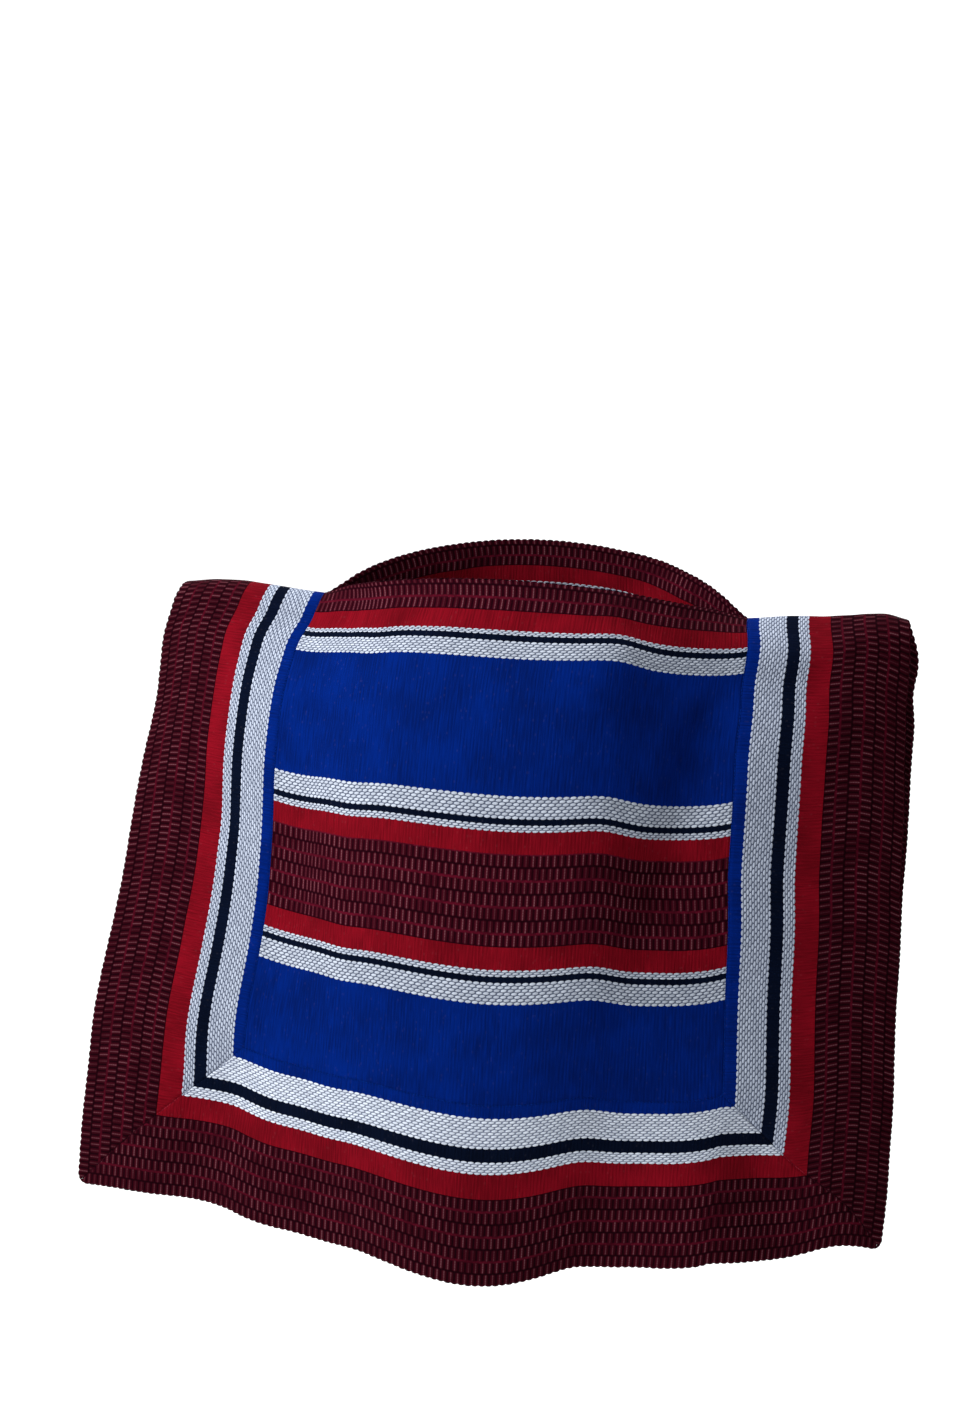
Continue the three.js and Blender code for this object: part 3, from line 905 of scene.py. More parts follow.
@dataclass
class YarnRow:
    """A row of small yarn loops along a seam or an edge of the cloth."""

    name: str
    cloth: Cloth
    style: LoopStyle
    runs: tuple[tuple[Pair, Pair], ...]
    inward: tuple[Pair, ...]

    def _sites(self) -> list[tuple[np.ndarray, ...]]:
        """Works out where the loops stand.

        Returns:
            For each run, the points and the directions along, across and outward.
        """
        sites = []
        for (start, end), inward in zip(self.runs, self.inward):
            length = math.dist(start, end)
            count = int(length / self.style.pitch)
            t = (np.arange(count) + 0.5) / count
            across = start[0] + (end[0] - start[0]) * t
            down = start[1] + (end[1] - start[1]) * t
            over_fold = start[1] * end[1] < 0
            point, normal = self.cloth.point(across, down, over_fold)
            step = (np.array(end) - np.array(start)) / length * SIGHT
            ahead, behind, inside = (
                self.cloth.point(across + shift[0], down + shift[1], over_fold)[0]
                for shift in (step, -step, inward)
            )
            along, out = ahead - behind, point - inside
            along -= normal * np.sum(along * normal, -1, keepdims=True)
            along /= np.linalg.norm(along, axis=-1, keepdims=True)
            side = np.cross(normal, along)
            side *= np.sign(np.sum(side * out, -1, keepdims=True))
            sites.append((point, along, side, normal))
        return sites

    def build(self) -> bpy.types.Object:
        """Copies the modelled loop to every place.

        Returns:
            The piece's object.
        """
        bead, bead_faces = modelled_bead(self.name)
        rng = np.random.default_rng(LOOP_SEED)
        points, faces, total = [], [], 0
        lean = math.radians(self.style.slant)
        for point, along, side, normal in self._sites():
            first = along * math.cos(lean) + side * math.sin(lean)
            second = side * math.cos(lean) - along * math.sin(lean)
            turned = np.linalg.det(np.stack([first[0], second[0], normal[0]])) < 0
            for lift in self.style.lifts:
                chance = rng.uniform(-LOOP_VARIATION, LOOP_VARIATION, (len(point), 1))
                size = np.array(self.style.sizes) * (1 + chance)
                centre = point + normal * lift
                placed = (
                    centre[:, None]
                    + bead[None, :, 2:3] * size[:, None, 0:1] * first[:, None]
                    + bead[None, :, 0:1] * size[:, None, 1:2] * second[:, None]
                    + bead[None, :, 1:2] * size[:, None, 2:3] * normal[:, None]
                )
                points.append(placed.reshape(-1, 3))
                for i in range(len(point)):
                    shift = total + i * len(bead)
                    for face in bead_faces:
                        ring = [shift + corner for corner in face]
                        faces.append(ring if turned else ring[::-1])
                total += len(point) * len(bead)
        return new_mesh(self.name, np.concatenate(points), faces)


@dataclass(frozen=True)
class Yarn:
    """A dyed yarn, its colour given as the eye sees it, from 0 to 255."""

    red: float
    green: float
    blue: float

    def colour(self) -> tuple[float, float, float, float]:
        """Gives the colour in linear light."""
        parts = [value / 255 for value in (self.red, self.green, self.blue)]
        linear = [p / 12.92 if p <= 0.04045 else ((p + 0.055) / 1.055) ** 2.4 for p in parts]
        return (*linear, 1.0)


class Dye(Enum):
    """The yarns of the stripes."""

    BLUE = Yarn(0, 28, 104)
    NAVY = Yarn(5, 12, 30)
    RED = Yarn(113, 8, 22)
    MAROON = Yarn(54, 5, 18)
    WHITE = Yarn(224, 232, 245)


MAROON_DARK = Yarn(29, 1, 9)
MAROON_DASH = Yarn(81, 25, 37)
# A thin painted highlight down the middle of each maroon dash.
MAROON_HIGHLIGHT = Yarn(142, 98, 106)
MAROON_LINE = Yarn(100, 14, 36)
# The white between the loops, darker: painted shade in the hollows between them. The second one,
# darker still, also paints shade on the panels and side bands.
WHITE_GAP_SHADE = Yarn(112, 120, 141)
SHADED_GAP = Yarn(84, 92, 112)
# Darker copies of the white yarn for the panels and the side bands: painted shade.
SHADED_PANEL_WHITE = Yarn(199, 207, 221)
SHADED_SIDE_WHITE = Yarn(189, 198, 216)

PANEL_STRIPES = (
    (0.0, Dye.MAROON), (17.0, Dye.RED), (28.0, Dye.WHITE), (30.1, Dye.NAVY),
    (33.8, Dye.WHITE), (43.0, Dye.BLUE), (116.0, Dye.WHITE), (127.4, Dye.NAVY),
    (131.0, Dye.WHITE), (134.2, Dye.RED), (146.0, Dye.MAROON), (195.0, Dye.RED),
    (207.4, Dye.WHITE), (210.5, Dye.NAVY), (214.1, Dye.WHITE), (225.5, Dye.BLUE),
)
BAND_STRIPES = (
    (0.0, Dye.BLUE), (7.0, Dye.WHITE), (22.6, Dye.NAVY), (30.0, Dye.WHITE),
    (36.0, Dye.RED), (49.5, Dye.MAROON),
)

# How glossy the yarn is, and the colour of the stray fibres in it, in linear light.
CLOTH_GLOSS = 0.02
SPECK_COLOUR = (0.5, 0.42, 0.5, 1.0)


def stripe_spans(stripes: tuple[tuple[float, Dye], ...], width: float, dye: Dye) -> list[Pair]:
    """Lists the stripes of one yarn.

    Args:
        stripes: where each stripe starts, and its yarn.
        width: where the last stripe ends.
        dye: the yarn.

    Returns:
        Start and end of each stripe.
    """
    ends = [start for start, _ in stripes[1:]] + [width]
    return [(start, end) for (start, worn), end in zip(stripes, ends) if worn is dye]


class Graph:
    """Adds shader nodes to one tree and wires them."""

    def __init__(self, tree: bpy.types.NodeTree) -> None:
        """Starts on a tree.

        Args:
            tree: the tree that the nodes go into.
        """
        self.tree = tree

    def add(self, kind: str, **settings: object) -> bpy.types.Node:
        """Adds a node.

        Args:
            kind: the node's type name.
            settings: properties to set on it.

        Returns:
            The node.
        """
        node = self.tree.nodes.new(kind)
        for key, value in settings.items():
            setattr(node, key, value)
        return node

    def wire(self, source: object, target: bpy.types.NodeSocket) -> None:
        """Links a socket to another, or sets its value.

        Args:
            source: an output socket, or a plain value.
            target: the input socket.
        """
        if isinstance(source, bpy.types.NodeSocket):
            self.tree.links.new(source, target)
        else:
            target.default_value = source

    def fill(self, node: bpy.types.Node, values: dict[str, object]) -> None:
        """Wires values to a node's inputs.

        Args:
            node: the node.
            values: sockets or plain values, by the names of the inputs.
        """
        for label, value in values.items():
            self.wire(value, node.inputs[label])

    def math(self, operation: str, *values: object) -> bpy.types.NodeSocket:
        """Adds a sum.

        Args:
            operation: the Math node's operation.
            values: up to three sockets or numbers.

        Returns:
            The result.
        """
        node = self.add("ShaderNodeMath", operation=operation)
        for value, target in zip(values, node.inputs):
            self.wire(value, target)
        return node.outputs[0]

    def ease(self, value: object, low: float, high: float) -> bpy.types.NodeSocket:
        """Eases a value to 0 at one place and 1 at another.

        Args:
            value: the socket to read.
            low: the value that gives 0.
            high: the value that gives 1.

        Returns:
            The eased value.
        """
        node = self.add("ShaderNodeMapRange", interpolation_type="SMOOTHSTEP")
        swap = low > high
        for place, number in enumerate((value, min(low, high), max(low, high), swap, not swap)):
            self.wire(number, node.inputs[place])
        return node.outputs[0]

    def blend(self, share: object, first: object, second: object) -> bpy.types.NodeSocket:
        """Blends two colours.

        Args:
            share: share of the second colour.
            first: the first colour.
            second: the second colour.

        Returns:
            The blended colour.
        """
        node = self.add("ShaderNodeMix", data_type="RGBA")
        for place, value in ((0, share), (6, first), (7, second)):
            self.wire(value, node.inputs[place])
        return node.outputs[2]

    def level(self, share: object, first: object, second: object) -> bpy.types.NodeSocket:
        """Blends two numbers.

        Args:
            share: share of the second number.
            first: the first number.
            second: the second number.

        Returns:
            The blended number.
        """
        node = self.add("ShaderNodeMix", data_type="FLOAT")
        for place, value in ((0, share), (2, first), (3, second)):
            self.wire(value, node.inputs[place])
        return node.outputs[0]

    def pair(self, first: object, second: object) -> bpy.types.NodeSocket:
        """Joins two numbers into a place.

        Args:
            first: the first number.
            second: the second number.

        Returns:
            The place.
        """
        node = self.add("ShaderNodeCombineXYZ")
        self.wire(first, node.inputs[0])
        self.wire(second, node.inputs[1])
        return node.outputs[0]

    def noise(self, place: object, scale: float, detail: float = 2.0) -> bpy.types.NodeSocket:
        """Adds soft noise.

        Args:
            place: where it is read.
            scale: how fine it is.
            detail: how many finer layers it has.

        Returns:
            The noise, from 0 to 1.
        """
        node = self.add("ShaderNodeTexNoise", noise_dimensions="2D")
        self.fill(node, {"Vector": place, "Scale": scale, "Detail": detail})
        return node.outputs[0]

    def scatter(self, first: object, second: object) -> bpy.types.NodeSocket:
        """Gives every cell its own even chance number.

        Args:
            first: the cell's number one way.
            second: the cell's number the other way.

        Returns:
            A number from 0 to 1.
        """
        node = self.add("ShaderNodeTexWhiteNoise", noise_dimensions="2D")
        self.wire(self.pair(first, second), node.inputs["Vector"])
        return node.outputs[0]

    def centred(self, value: object) -> bpy.types.NodeSocket:
        """Gives how far a value is past the middle of its own whole step."""
        return self.math("SUBTRACT", self.math("FRACT", value), 0.5)

    def bricks(self, along: object, rows: object) -> tuple[bpy.types.NodeSocket, ...]:
        """Lays cells in rows, every other row half a step over.

        Args:
            along: the place along, in steps.
            rows: the place across, in rows.

        Returns:
            The place along in the row's own steps, and each cell's chance number.
        """
        row = self.math("FLOOR", rows)
        odd = self.math("MODULO", self.math("ABSOLUTE", row), 2.0)
        steps = self.math("MULTIPLY_ADD", odd, 0.5, along)
        return steps, self.scatter(self.math("FLOOR", steps), row)

    def scaled(self, colour: object, share: object) -> bpy.types.NodeSocket:
        """Makes a colour darker or lighter.

        Args:
            colour: the colour.
            share: what it is multiplied by.

        Returns:
            The new colour.
        """
        node = self.add("ShaderNodeVectorMath", operation="SCALE")
        self.wire(colour, node.inputs[0])
        self.wire(share, node.inputs["Scale"])
        return node.outputs[0]

    def relief(self, height: object, strength: float, distance: float) -> bpy.types.NodeSocket:
        """Turns heights into a relief.

        Args:
            height: the height, from 0 to about 1.
            strength: the share of the relief that shows.
            distance: how far a height of 1 stands out, in metres.

        Returns:
            The relief's normals.
        """
        node = self.add("ShaderNodeBump")
        self.fill(node, {"Strength": strength, "Distance": distance, "Height": height})
        return node.outputs[0]

    def use(self, group: bpy.types.NodeTree, *values: object) -> dict[str, bpy.types.NodeSocket]:
        """Uses a node group.

        Args:
            group: the group's tree.
            values: its inputs, in order.

        Returns:
            Its outputs by name.
        """
        node = self.add("ShaderNodeGroup", node_tree=group)
        for value, target in zip(values, node.inputs):
            self.wire(value, target)
        return {output.name: output for output in node.outputs}


def new_group(
    name: str, inputs: tuple[str, ...], outputs: tuple[str, ...]
) -> tuple[Graph, list[bpy.types.NodeSocket], bpy.types.Node]:
    """Starts a node group of plain numbers.

    Args:
        name: the group's name.
        inputs: names of its inputs.
        outputs: names of its outputs.

    Returns:
        The graph, the input sockets and the group's output node.
    """
    tree = bpy.data.node_groups.new(name, "ShaderNodeTree")
    for label in inputs:
        tree.interface.new_socket(label, in_out="INPUT", socket_type="NodeSocketFloat")
    for label in outputs:
        tree.interface.new_socket(label, in_out="OUTPUT", socket_type="NodeSocketFloat")
    graph = Graph(tree)
    entry = graph.add("NodeGroupInput")
    exit_node = graph.add("NodeGroupOutput")
    return graph, [entry.outputs[label] for label in inputs], exit_node


def brick_loops() -> bpy.types.NodeTree:
    """Makes the white stripes' rows of slanted oval loops, each row half a step over.

    Returns:
        A group that takes the place along in steps and the place across in rows.
    """
    slant, half_width, half_height = 0.14, 0.47, 0.52
    names = ("Loop", "Height", "Tone")
    graph, (along, rows), end = new_group("brick_loops", ("Along", "Rows"), names)
    steps, tone = graph.bricks(along, rows)
    across = graph.centred(rows)
    slanted = graph.math("MULTIPLY_ADD", across, slant, graph.centred(steps))
    wide = graph.math("POWER", graph.math("DIVIDE", slanted, half_width), 2.0)
    tall = graph.math("POWER", graph.math("DIVIDE", across, half_height), 2.0)
    away = graph.math("ADD", wide, tall)
    height = graph.math("SQRT", graph.math("MAXIMUM", graph.math("SUBTRACT", 1.0, away), 0.0))
    graph.fill(end, {"Loop": graph.ease(away, 1.02, 0.5), "Height": height, "Tone": tone})
    return graph.tree


def figured_rows() -> bpy.types.NodeTree:
    """Makes the maroon stripes' rows of pale upright dashes between dark blocks, each dash with a
    thin painted highlight down its middle.

    Returns:
        A group that takes the place along in steps, the place across in rows, and which
        of the lines between the rows are red.
    """
    names = ("Dash", "Highlight", "Block", "Red line", "Dark line", "Height", "Tone")
    graph, (along, rows, swap), end = new_group("figured_rows", ("Along", "Rows", "Swap"), names)
    steps, tone = graph.bricks(along, rows)
    sideways = graph.math("ABSOLUTE", graph.centred(steps))
    upright = graph.math("ABSOLUTE", graph.centred(rows))
    length = graph.ease(upright, 0.47, 0.38)
    threads = graph.math("COSINE", graph.math("MULTIPLY", rows, 2 * FIGURE_THREADS * math.pi))
    dotted = graph.math("MULTIPLY", length, graph.level(graph.ease(threads, -0.7, 0.5), 0.4, 1.0))
    dash = graph.math("MULTIPLY", graph.ease(sideways, 0.21, 0.09), length)
    # A thin painted highlight down the middle of each dash, dotted along its threads.
    core = graph.math("MULTIPLY", graph.ease(sideways, 0.1, 0.02), dotted)
    block = graph.math(
        "MULTIPLY", graph.ease(sideways, 0.27, 0.44), graph.ease(upright, 0.48, 0.36)
    )
    arc = graph.math("MULTIPLY_ADD", sideways, -0.11, 0.5)
    line = graph.ease(graph.math("SUBTRACT", arc, upright), 0.09, 0.03)
    nearest = graph.math("FLOOR", graph.math("ADD", rows, 0.5))
    counted = graph.math("ABSOLUTE", graph.math("ADD", nearest, swap))
    is_red = graph.math("MODULO", counted, 2.0)
    raised = graph.math("MULTIPLY_ADD", dash, 0.6, 0.4)
    graph.fill(end, {
        "Dash": dash,
        "Highlight": core,
        "Block": block,
        "Red line": graph.math("MULTIPLY", line, is_red),
        "Dark line": graph.math("MULTIPLY", line, graph.math("SUBTRACT", 1.0, is_red)),
        "Height": graph.math("SUBTRACT", raised, graph.math("MULTIPLY", block, 0.3)),
        "Tone": tone,
    })
    return graph.tree


def rib_streaks() -> bpy.types.NodeTree:
    """Makes the plain stripes' fine ribs, streaks and specks, which run across the stripe.

    Returns:
        A group that takes the place along and across, in millimetres.
    """
    graph, (along, across), end = new_group(
        "rib_streaks", ("Along", "Across"), ("Tone", "Speck", "Height")
    )
    place = graph.pair(along, across)
    drawn_out = graph.pair(
        graph.math("MULTIPLY", along, 1.5), graph.math("MULTIPLY", across, 0.07)
    )
    fine = graph.noise(drawn_out, 1.0, 3.0)
    broad, grain = graph.noise(place, 0.035), graph.noise(place, 1.1)
    rib = graph.math("COSINE", graph.math("MULTIPLY", along, 2 * math.pi / (THREAD_PITCH / 2)))
    mixed = graph.math("MULTIPLY_ADD", fine, 0.6, graph.math("MULTIPLY", broad, 0.4))
    rough = graph.math("ADD", fine, graph.math("MULTIPLY", grain, 0.6))
    chance = graph.scatter(
        graph.math("FLOOR", graph.math("MULTIPLY", along, 1.05)),
        graph.math("FLOOR", graph.math("MULTIPLY", across, 0.8)),
    )
    graph.fill(end, {
        "Tone": graph.math("MULTIPLY_ADD", rib, 0.035, mixed),
        "Speck": graph.ease(chance, 0.965, 1.0),
        "Height": graph.math("MULTIPLY_ADD", rib, 0.35, rough),
    })
    return graph.tree


def new_finish(name: str) -> tuple[bpy.types.Material, Graph, bpy.types.Node]:
    """Starts a finish.

    Args:
        name: the material's name.

    Returns:
        The material, the graph of its nodes and its Principled BSDF node.
    """
    material = bpy.data.materials.new(name)
    material.use_nodes = True
    return material, Graph(material.node_tree), material.node_tree.nodes["Principled BSDF"]


@dataclass(frozen=True)
class WeaveGroups:
    """The node groups that the two striped finishes share."""

    loops: bpy.types.NodeTree
    rows: bpy.types.NodeTree
    ribs: bpy.types.NodeTree


@dataclass(frozen=True)
class WeavePart:
    """One kind of weave in a finish: where it shows, its colour, roughness and height."""

    shown: object
    colour: object
    rough: object
    height: object


@dataclass(frozen=True)
class StripedCloth:
    """The finish of a striped piece: its stripes, its weave and how it takes light."""

    name: str
    stripes: tuple[tuple[float, Dye], ...]
    width: float
    groups: WeaveGroups
    neck_figure: bool = False
    # The white yarn; the panels and the side bands take darker copies of it as painted shade.
    white: Yarn = Dye.WHITE.value
    # The darker white in the gaps between the loops: painted shade in the hollows between them.
    white_gap_shade: Yarn = WHITE_GAP_SHADE
    # How much the maroon of a piece is darkened as painted shade; 1 leaves it as dyed.
    maroon_painted_shade: float = 1.0
    scallop: float = 0.35

    def _spans(self, dye: Dye) -> list[Pair]:
        """Lists start and end of the stripes of one yarn."""
        return stripe_spans(self.stripes, self.width, dye)

    def _ground(self, graph: Graph, across: bpy.types.NodeSocket) -> object:
        """Lays the plain stripes, which meet under the white ones.

        Args:
            graph: the material's graph.
            across: the place across, in millimetres.

        Returns:
            The ground colour.
        """
        colour: object = None
        whites = {start: end for start, end in self._spans(Dye.WHITE)}
        for number, (start, dye) in enumerate(self.stripes):
            if dye is Dye.WHITE:
                continue
            before = self.stripes[number - 1][0] if number else None
            border = (before + whites[before]) / 2 if before in whites else start
            if colour is None:
                colour = dye.value.colour()
            else:
                share = graph.math("GREATER_THAN", across, border)
                colour = graph.blend(share, colour, dye.value.colour())
        return colour

    def _figure_rows(
        self, graph: Graph, across: bpy.types.NodeSocket
    ) -> tuple[object, object, object]:
        """Finds the maroon stripes and counts their rows.

        Args:
            graph: the material's graph.
            across: the place across, in millimetres.

        Returns:
            Where maroon shows, the place in rows, and which lines between them are red.
        """
        start, end = self._spans(Dye.MAROON)[-1]
        shown = graph.math("COMPARE", across, (start + end) / 2, (end - start) / 2)
        step = (end - start) / FIGURE_ROWS
        rows = graph.math("MULTIPLY_ADD", across, 1 / step, -start / step)
        if not self.neck_figure:
            return shown, rows, 0.0
        neck_end = self._spans(Dye.MAROON)[0][1]
        at_neck = graph.math("LESS_THAN", across, neck_end)
        neck_rows = graph.math("MULTIPLY_ADD", across, -1 / FIGURE_ROW, neck_end / FIGURE_ROW)
        shown = graph.math("MAXIMUM", shown, at_neck)
        return shown, graph.level(at_neck, rows, neck_rows), graph.math("SUBTRACT", 1.0, at_neck)

    def _white_rows(
        self, graph: Graph, along: bpy.types.NodeSocket, across: bpy.types.NodeSocket
    ) -> tuple[object, object]:
        """Finds the white stripes, with scalloped edges, and counts their rows.

        Args:
            graph: the material's graph.
            along: the place along, in steps.
            across: the place across, in millimetres.

        Returns:
            Where white shows, and the place in rows.
        """
        swing = graph.math("MULTIPLY_ADD", graph.math("FRACT", along), 2.0, -1.0)
        squared = graph.math("MULTIPLY", swing, swing)
        bulge = graph.math("SQRT", graph.math("SUBTRACT", 1.0, squared))
        shown: object = 0.0
        rows: object = 0.0
        for start, end in self._spans(Dye.WHITE):
            low, high = start - self.scallop, end + self.scallop
            count = max(2 * round((high - low) / LOOP_ROW - 0.5) + 1, 3)
            centre, half = (low + high) / 2, (high - low) / 2
            reach = graph.math("MULTIPLY_ADD", bulge, 1.0, half - 1.0)
            shown = graph.math("MAXIMUM", shown, graph.math("COMPARE", across, centre, reach))
            here = graph.math("COMPARE", across, centre, half)
            step = (high - low) / count
            place = graph.math("MULTIPLY_ADD", across, 1 / step, -low / step)
            rows = graph.math("MULTIPLY_ADD", place, here, rows)
        return shown, rows

    def _plain(self, graph: Graph, along: object, across: object) -> WeavePart:
        """Weaves the plain stripes, with ribs, streaks and a few pale specks.

        Args:
            graph: the material's graph.
            along: the place along, in millimetres.
            across: the place across, in millimetres.

        Returns:
            The plain weave, which shows wherever no other does.
        """
        ribs = graph.use(self.groups.ribs, along, across)
        shade = graph.level(graph.ease(ribs["Tone"], 0.3, 0.7), 0.68, 1.25)
        dyed = graph.scaled(self._ground(graph, across), shade)
        speck = graph.math("MULTIPLY", ribs["Speck"], 0.012)
        return WeavePart(
            shown=1.0,
            colour=graph.blend(speck, dyed, SPECK_COLOUR),
            rough=graph.level(ribs["Tone"], 0.78, 0.95),
            height=graph.math("MULTIPLY", ribs["Height"], 0.12),
        )

    def _maroon(
        self, graph: Graph, along: object, across: object, steps: object, rough: object
    ) -> WeavePart:
        """Weaves the figured maroon stripes, with dashes that fade in and out, and darkens them by
        the piece's painted shade.

        Args:
            graph: the material's graph.
            along: the place along, in millimetres.
            across: the place across, in millimetres.
            steps: the place along, in steps.
            rough: the roughness, the plain weave's.

        Returns:
            The figured weave.
        """
        shown, rows, swap = self._figure_rows(graph, across)
        figure = graph.use(self.groups.rows, steps, rows, swap)
        patch = graph.noise(graph.pair(along, across), 0.06)
        worn = graph.ease(graph.math("MULTIPLY_ADD", figure["Tone"], 0.35, patch), 0.35, 0.95)
        layers = (
            ("Block", 1.0, MAROON_DARK),
            ("Dark line", 1.0, MAROON_DARK),
            ("Dash", graph.level(worn, 0.25, 1.0), MAROON_DASH),
            # The painted highlight down the middle of the dashes.
            ("Highlight", graph.level(worn, 0.06, 0.55), MAROON_HIGHLIGHT),
            ("Red line", graph.level(figure["Tone"], 0.15, 0.65), MAROON_LINE),
        )
        colour: object = Dye.MAROON.value.colour()
        for label, strength, yarn in layers:
            share = graph.math("MULTIPLY", figure[label], strength)
            colour = graph.blend(share, colour, yarn.colour())
        return WeavePart(
            shown=shown,
            # The maroon is darkened on the hem and side bands: painted shade.
            colour=graph.scaled(colour, self.maroon_painted_shade),
            rough=rough,
            height=graph.math("MULTIPLY", figure["Height"], 0.5),
        )

    def _white(self, graph: Graph, steps: object, across: object) -> WeavePart:
        """Weaves the white stripes, rows of loops with darker gaps between, painted shade in the
        hollows between the loops.

        Args:
            graph: the material's graph.
            steps: the place along, in steps.
            across: the place across, in millimetres.

        Returns:
            The white weave.
        """
        shown, rows = self._white_rows(graph, steps, across)
        loops = graph.use(self.groups.loops, steps, rows)
        share = graph.math("MULTIPLY", loops["Loop"], graph.level(loops["Tone"], 0.68, 1.0))
        return WeavePart(
            shown=shown,
            # The gaps between the loops take the darker white: painted shade.
            colour=graph.blend(share, self.white_gap_shade.colour(), self.white.colour()),
            rough=graph.level(loops["Loop"], 0.95, 0.7),
            height=graph.math("MULTIPLY_ADD", loops["Height"], 0.5, 0.25),
        )

    def make(self) -> bpy.types.Material:
        """Makes the finish.

        Returns:
            The material.
        """
        material, graph, shader = new_finish(self.name)
        weave = graph.add("ShaderNodeUVMap", uv_map="weave").outputs[0]
        sizes = graph.add("ShaderNodeMapping")
        graph.fill(sizes, {"Vector": weave, "Scale": (1 / MM,) * 3})
        parts = graph.add("ShaderNodeSeparateXYZ")
        graph.wire(sizes.outputs[0], parts.inputs[0])
        along, across = parts.outputs[0], parts.outputs[1]
        steps = graph.math("MULTIPLY_ADD", along, 1 / THREAD_PITCH, STEP_OFFSET)
        plain = self._plain(graph, along, across)
        maroon = self._maroon(graph, along, across, steps, plain.rough)
        colour, rough, height = plain.colour, plain.rough, plain.height
        for part in (maroon, self._white(graph, steps, across)):
            colour = graph.blend(part.shown, colour, part.colour)
            rough = graph.level(part.shown, rough, part.rough)
            height = graph.level(part.shown, height, part.height)
        graph.fill(shader, {
            "Base Color": colour,
            "Roughness": rough,
            "Specular IOR Level": CLOTH_GLOSS,
            "Normal": graph.relief(height, 0.8, MM),
        })
        return material


@dataclass(frozen=True)
class SewingYarn:
    """The finish of seam stitches and edge loops: twisted yarn in two close shades."""

    label: str
    use: str
    dark: Yarn
    light: Yarn

    def make(self) -> bpy.types.Material:
        """Makes the finish.

        Returns:
            The material.
        """
        material, graph, shader = new_finish(f"{self.label}_{self.use}")
        place = graph.add("ShaderNodeTexCoord").outputs["Object"]
        patch = graph.add("ShaderNodeTexNoise")
        graph.fill(patch, {"Vector": place, "Scale": 260.0, "Detail": 3.0})
        tone = graph.ease(patch.outputs[0], 0.35, 0.65)
        twist = graph.add("ShaderNodeTexWave", wave_profile="SIN", bands_direction="DIAGONAL")
        graph.fill(twist, {"Vector": place, "Scale": 900.0, "Distortion": 1.5})
        graph.fill(shader, {
            "Base Color": graph.blend(tone, self.dark.colour(), self.light.colour()),
            "Roughness": graph.level(tone, 0.95, 0.75),
            "Specular IOR Level": CLOTH_GLOSS,
            "Normal": graph.relief(twist.outputs[1], 0.5, 0.2 * MM),
        })
        return material


# The sewing yarn over each kind of stripe. The maroon one also finishes the free edges.
SEWING = {
    Dye.BLUE: SewingYarn("blue", "sewing", Yarn(0, 30, 104), Yarn(1, 38, 122)),
    Dye.WHITE: SewingYarn("pale", "sewing", Yarn(96, 104, 124), Yarn(168, 176, 194)),
    Dye.NAVY: SewingYarn("navy", "sewing", Yarn(4, 10, 24), Yarn(9, 18, 40)),
    Dye.RED: SewingYarn("red", "sewing", Yarn(112, 12, 28), Yarn(146, 30, 46)),
    Dye.MAROON: SewingYarn("maroon", "edge", Yarn(17, 1, 6), Yarn(54, 9, 22)),
}

# How far before the hem corner the mitre's stitches end.
MITRE_END = 2.0


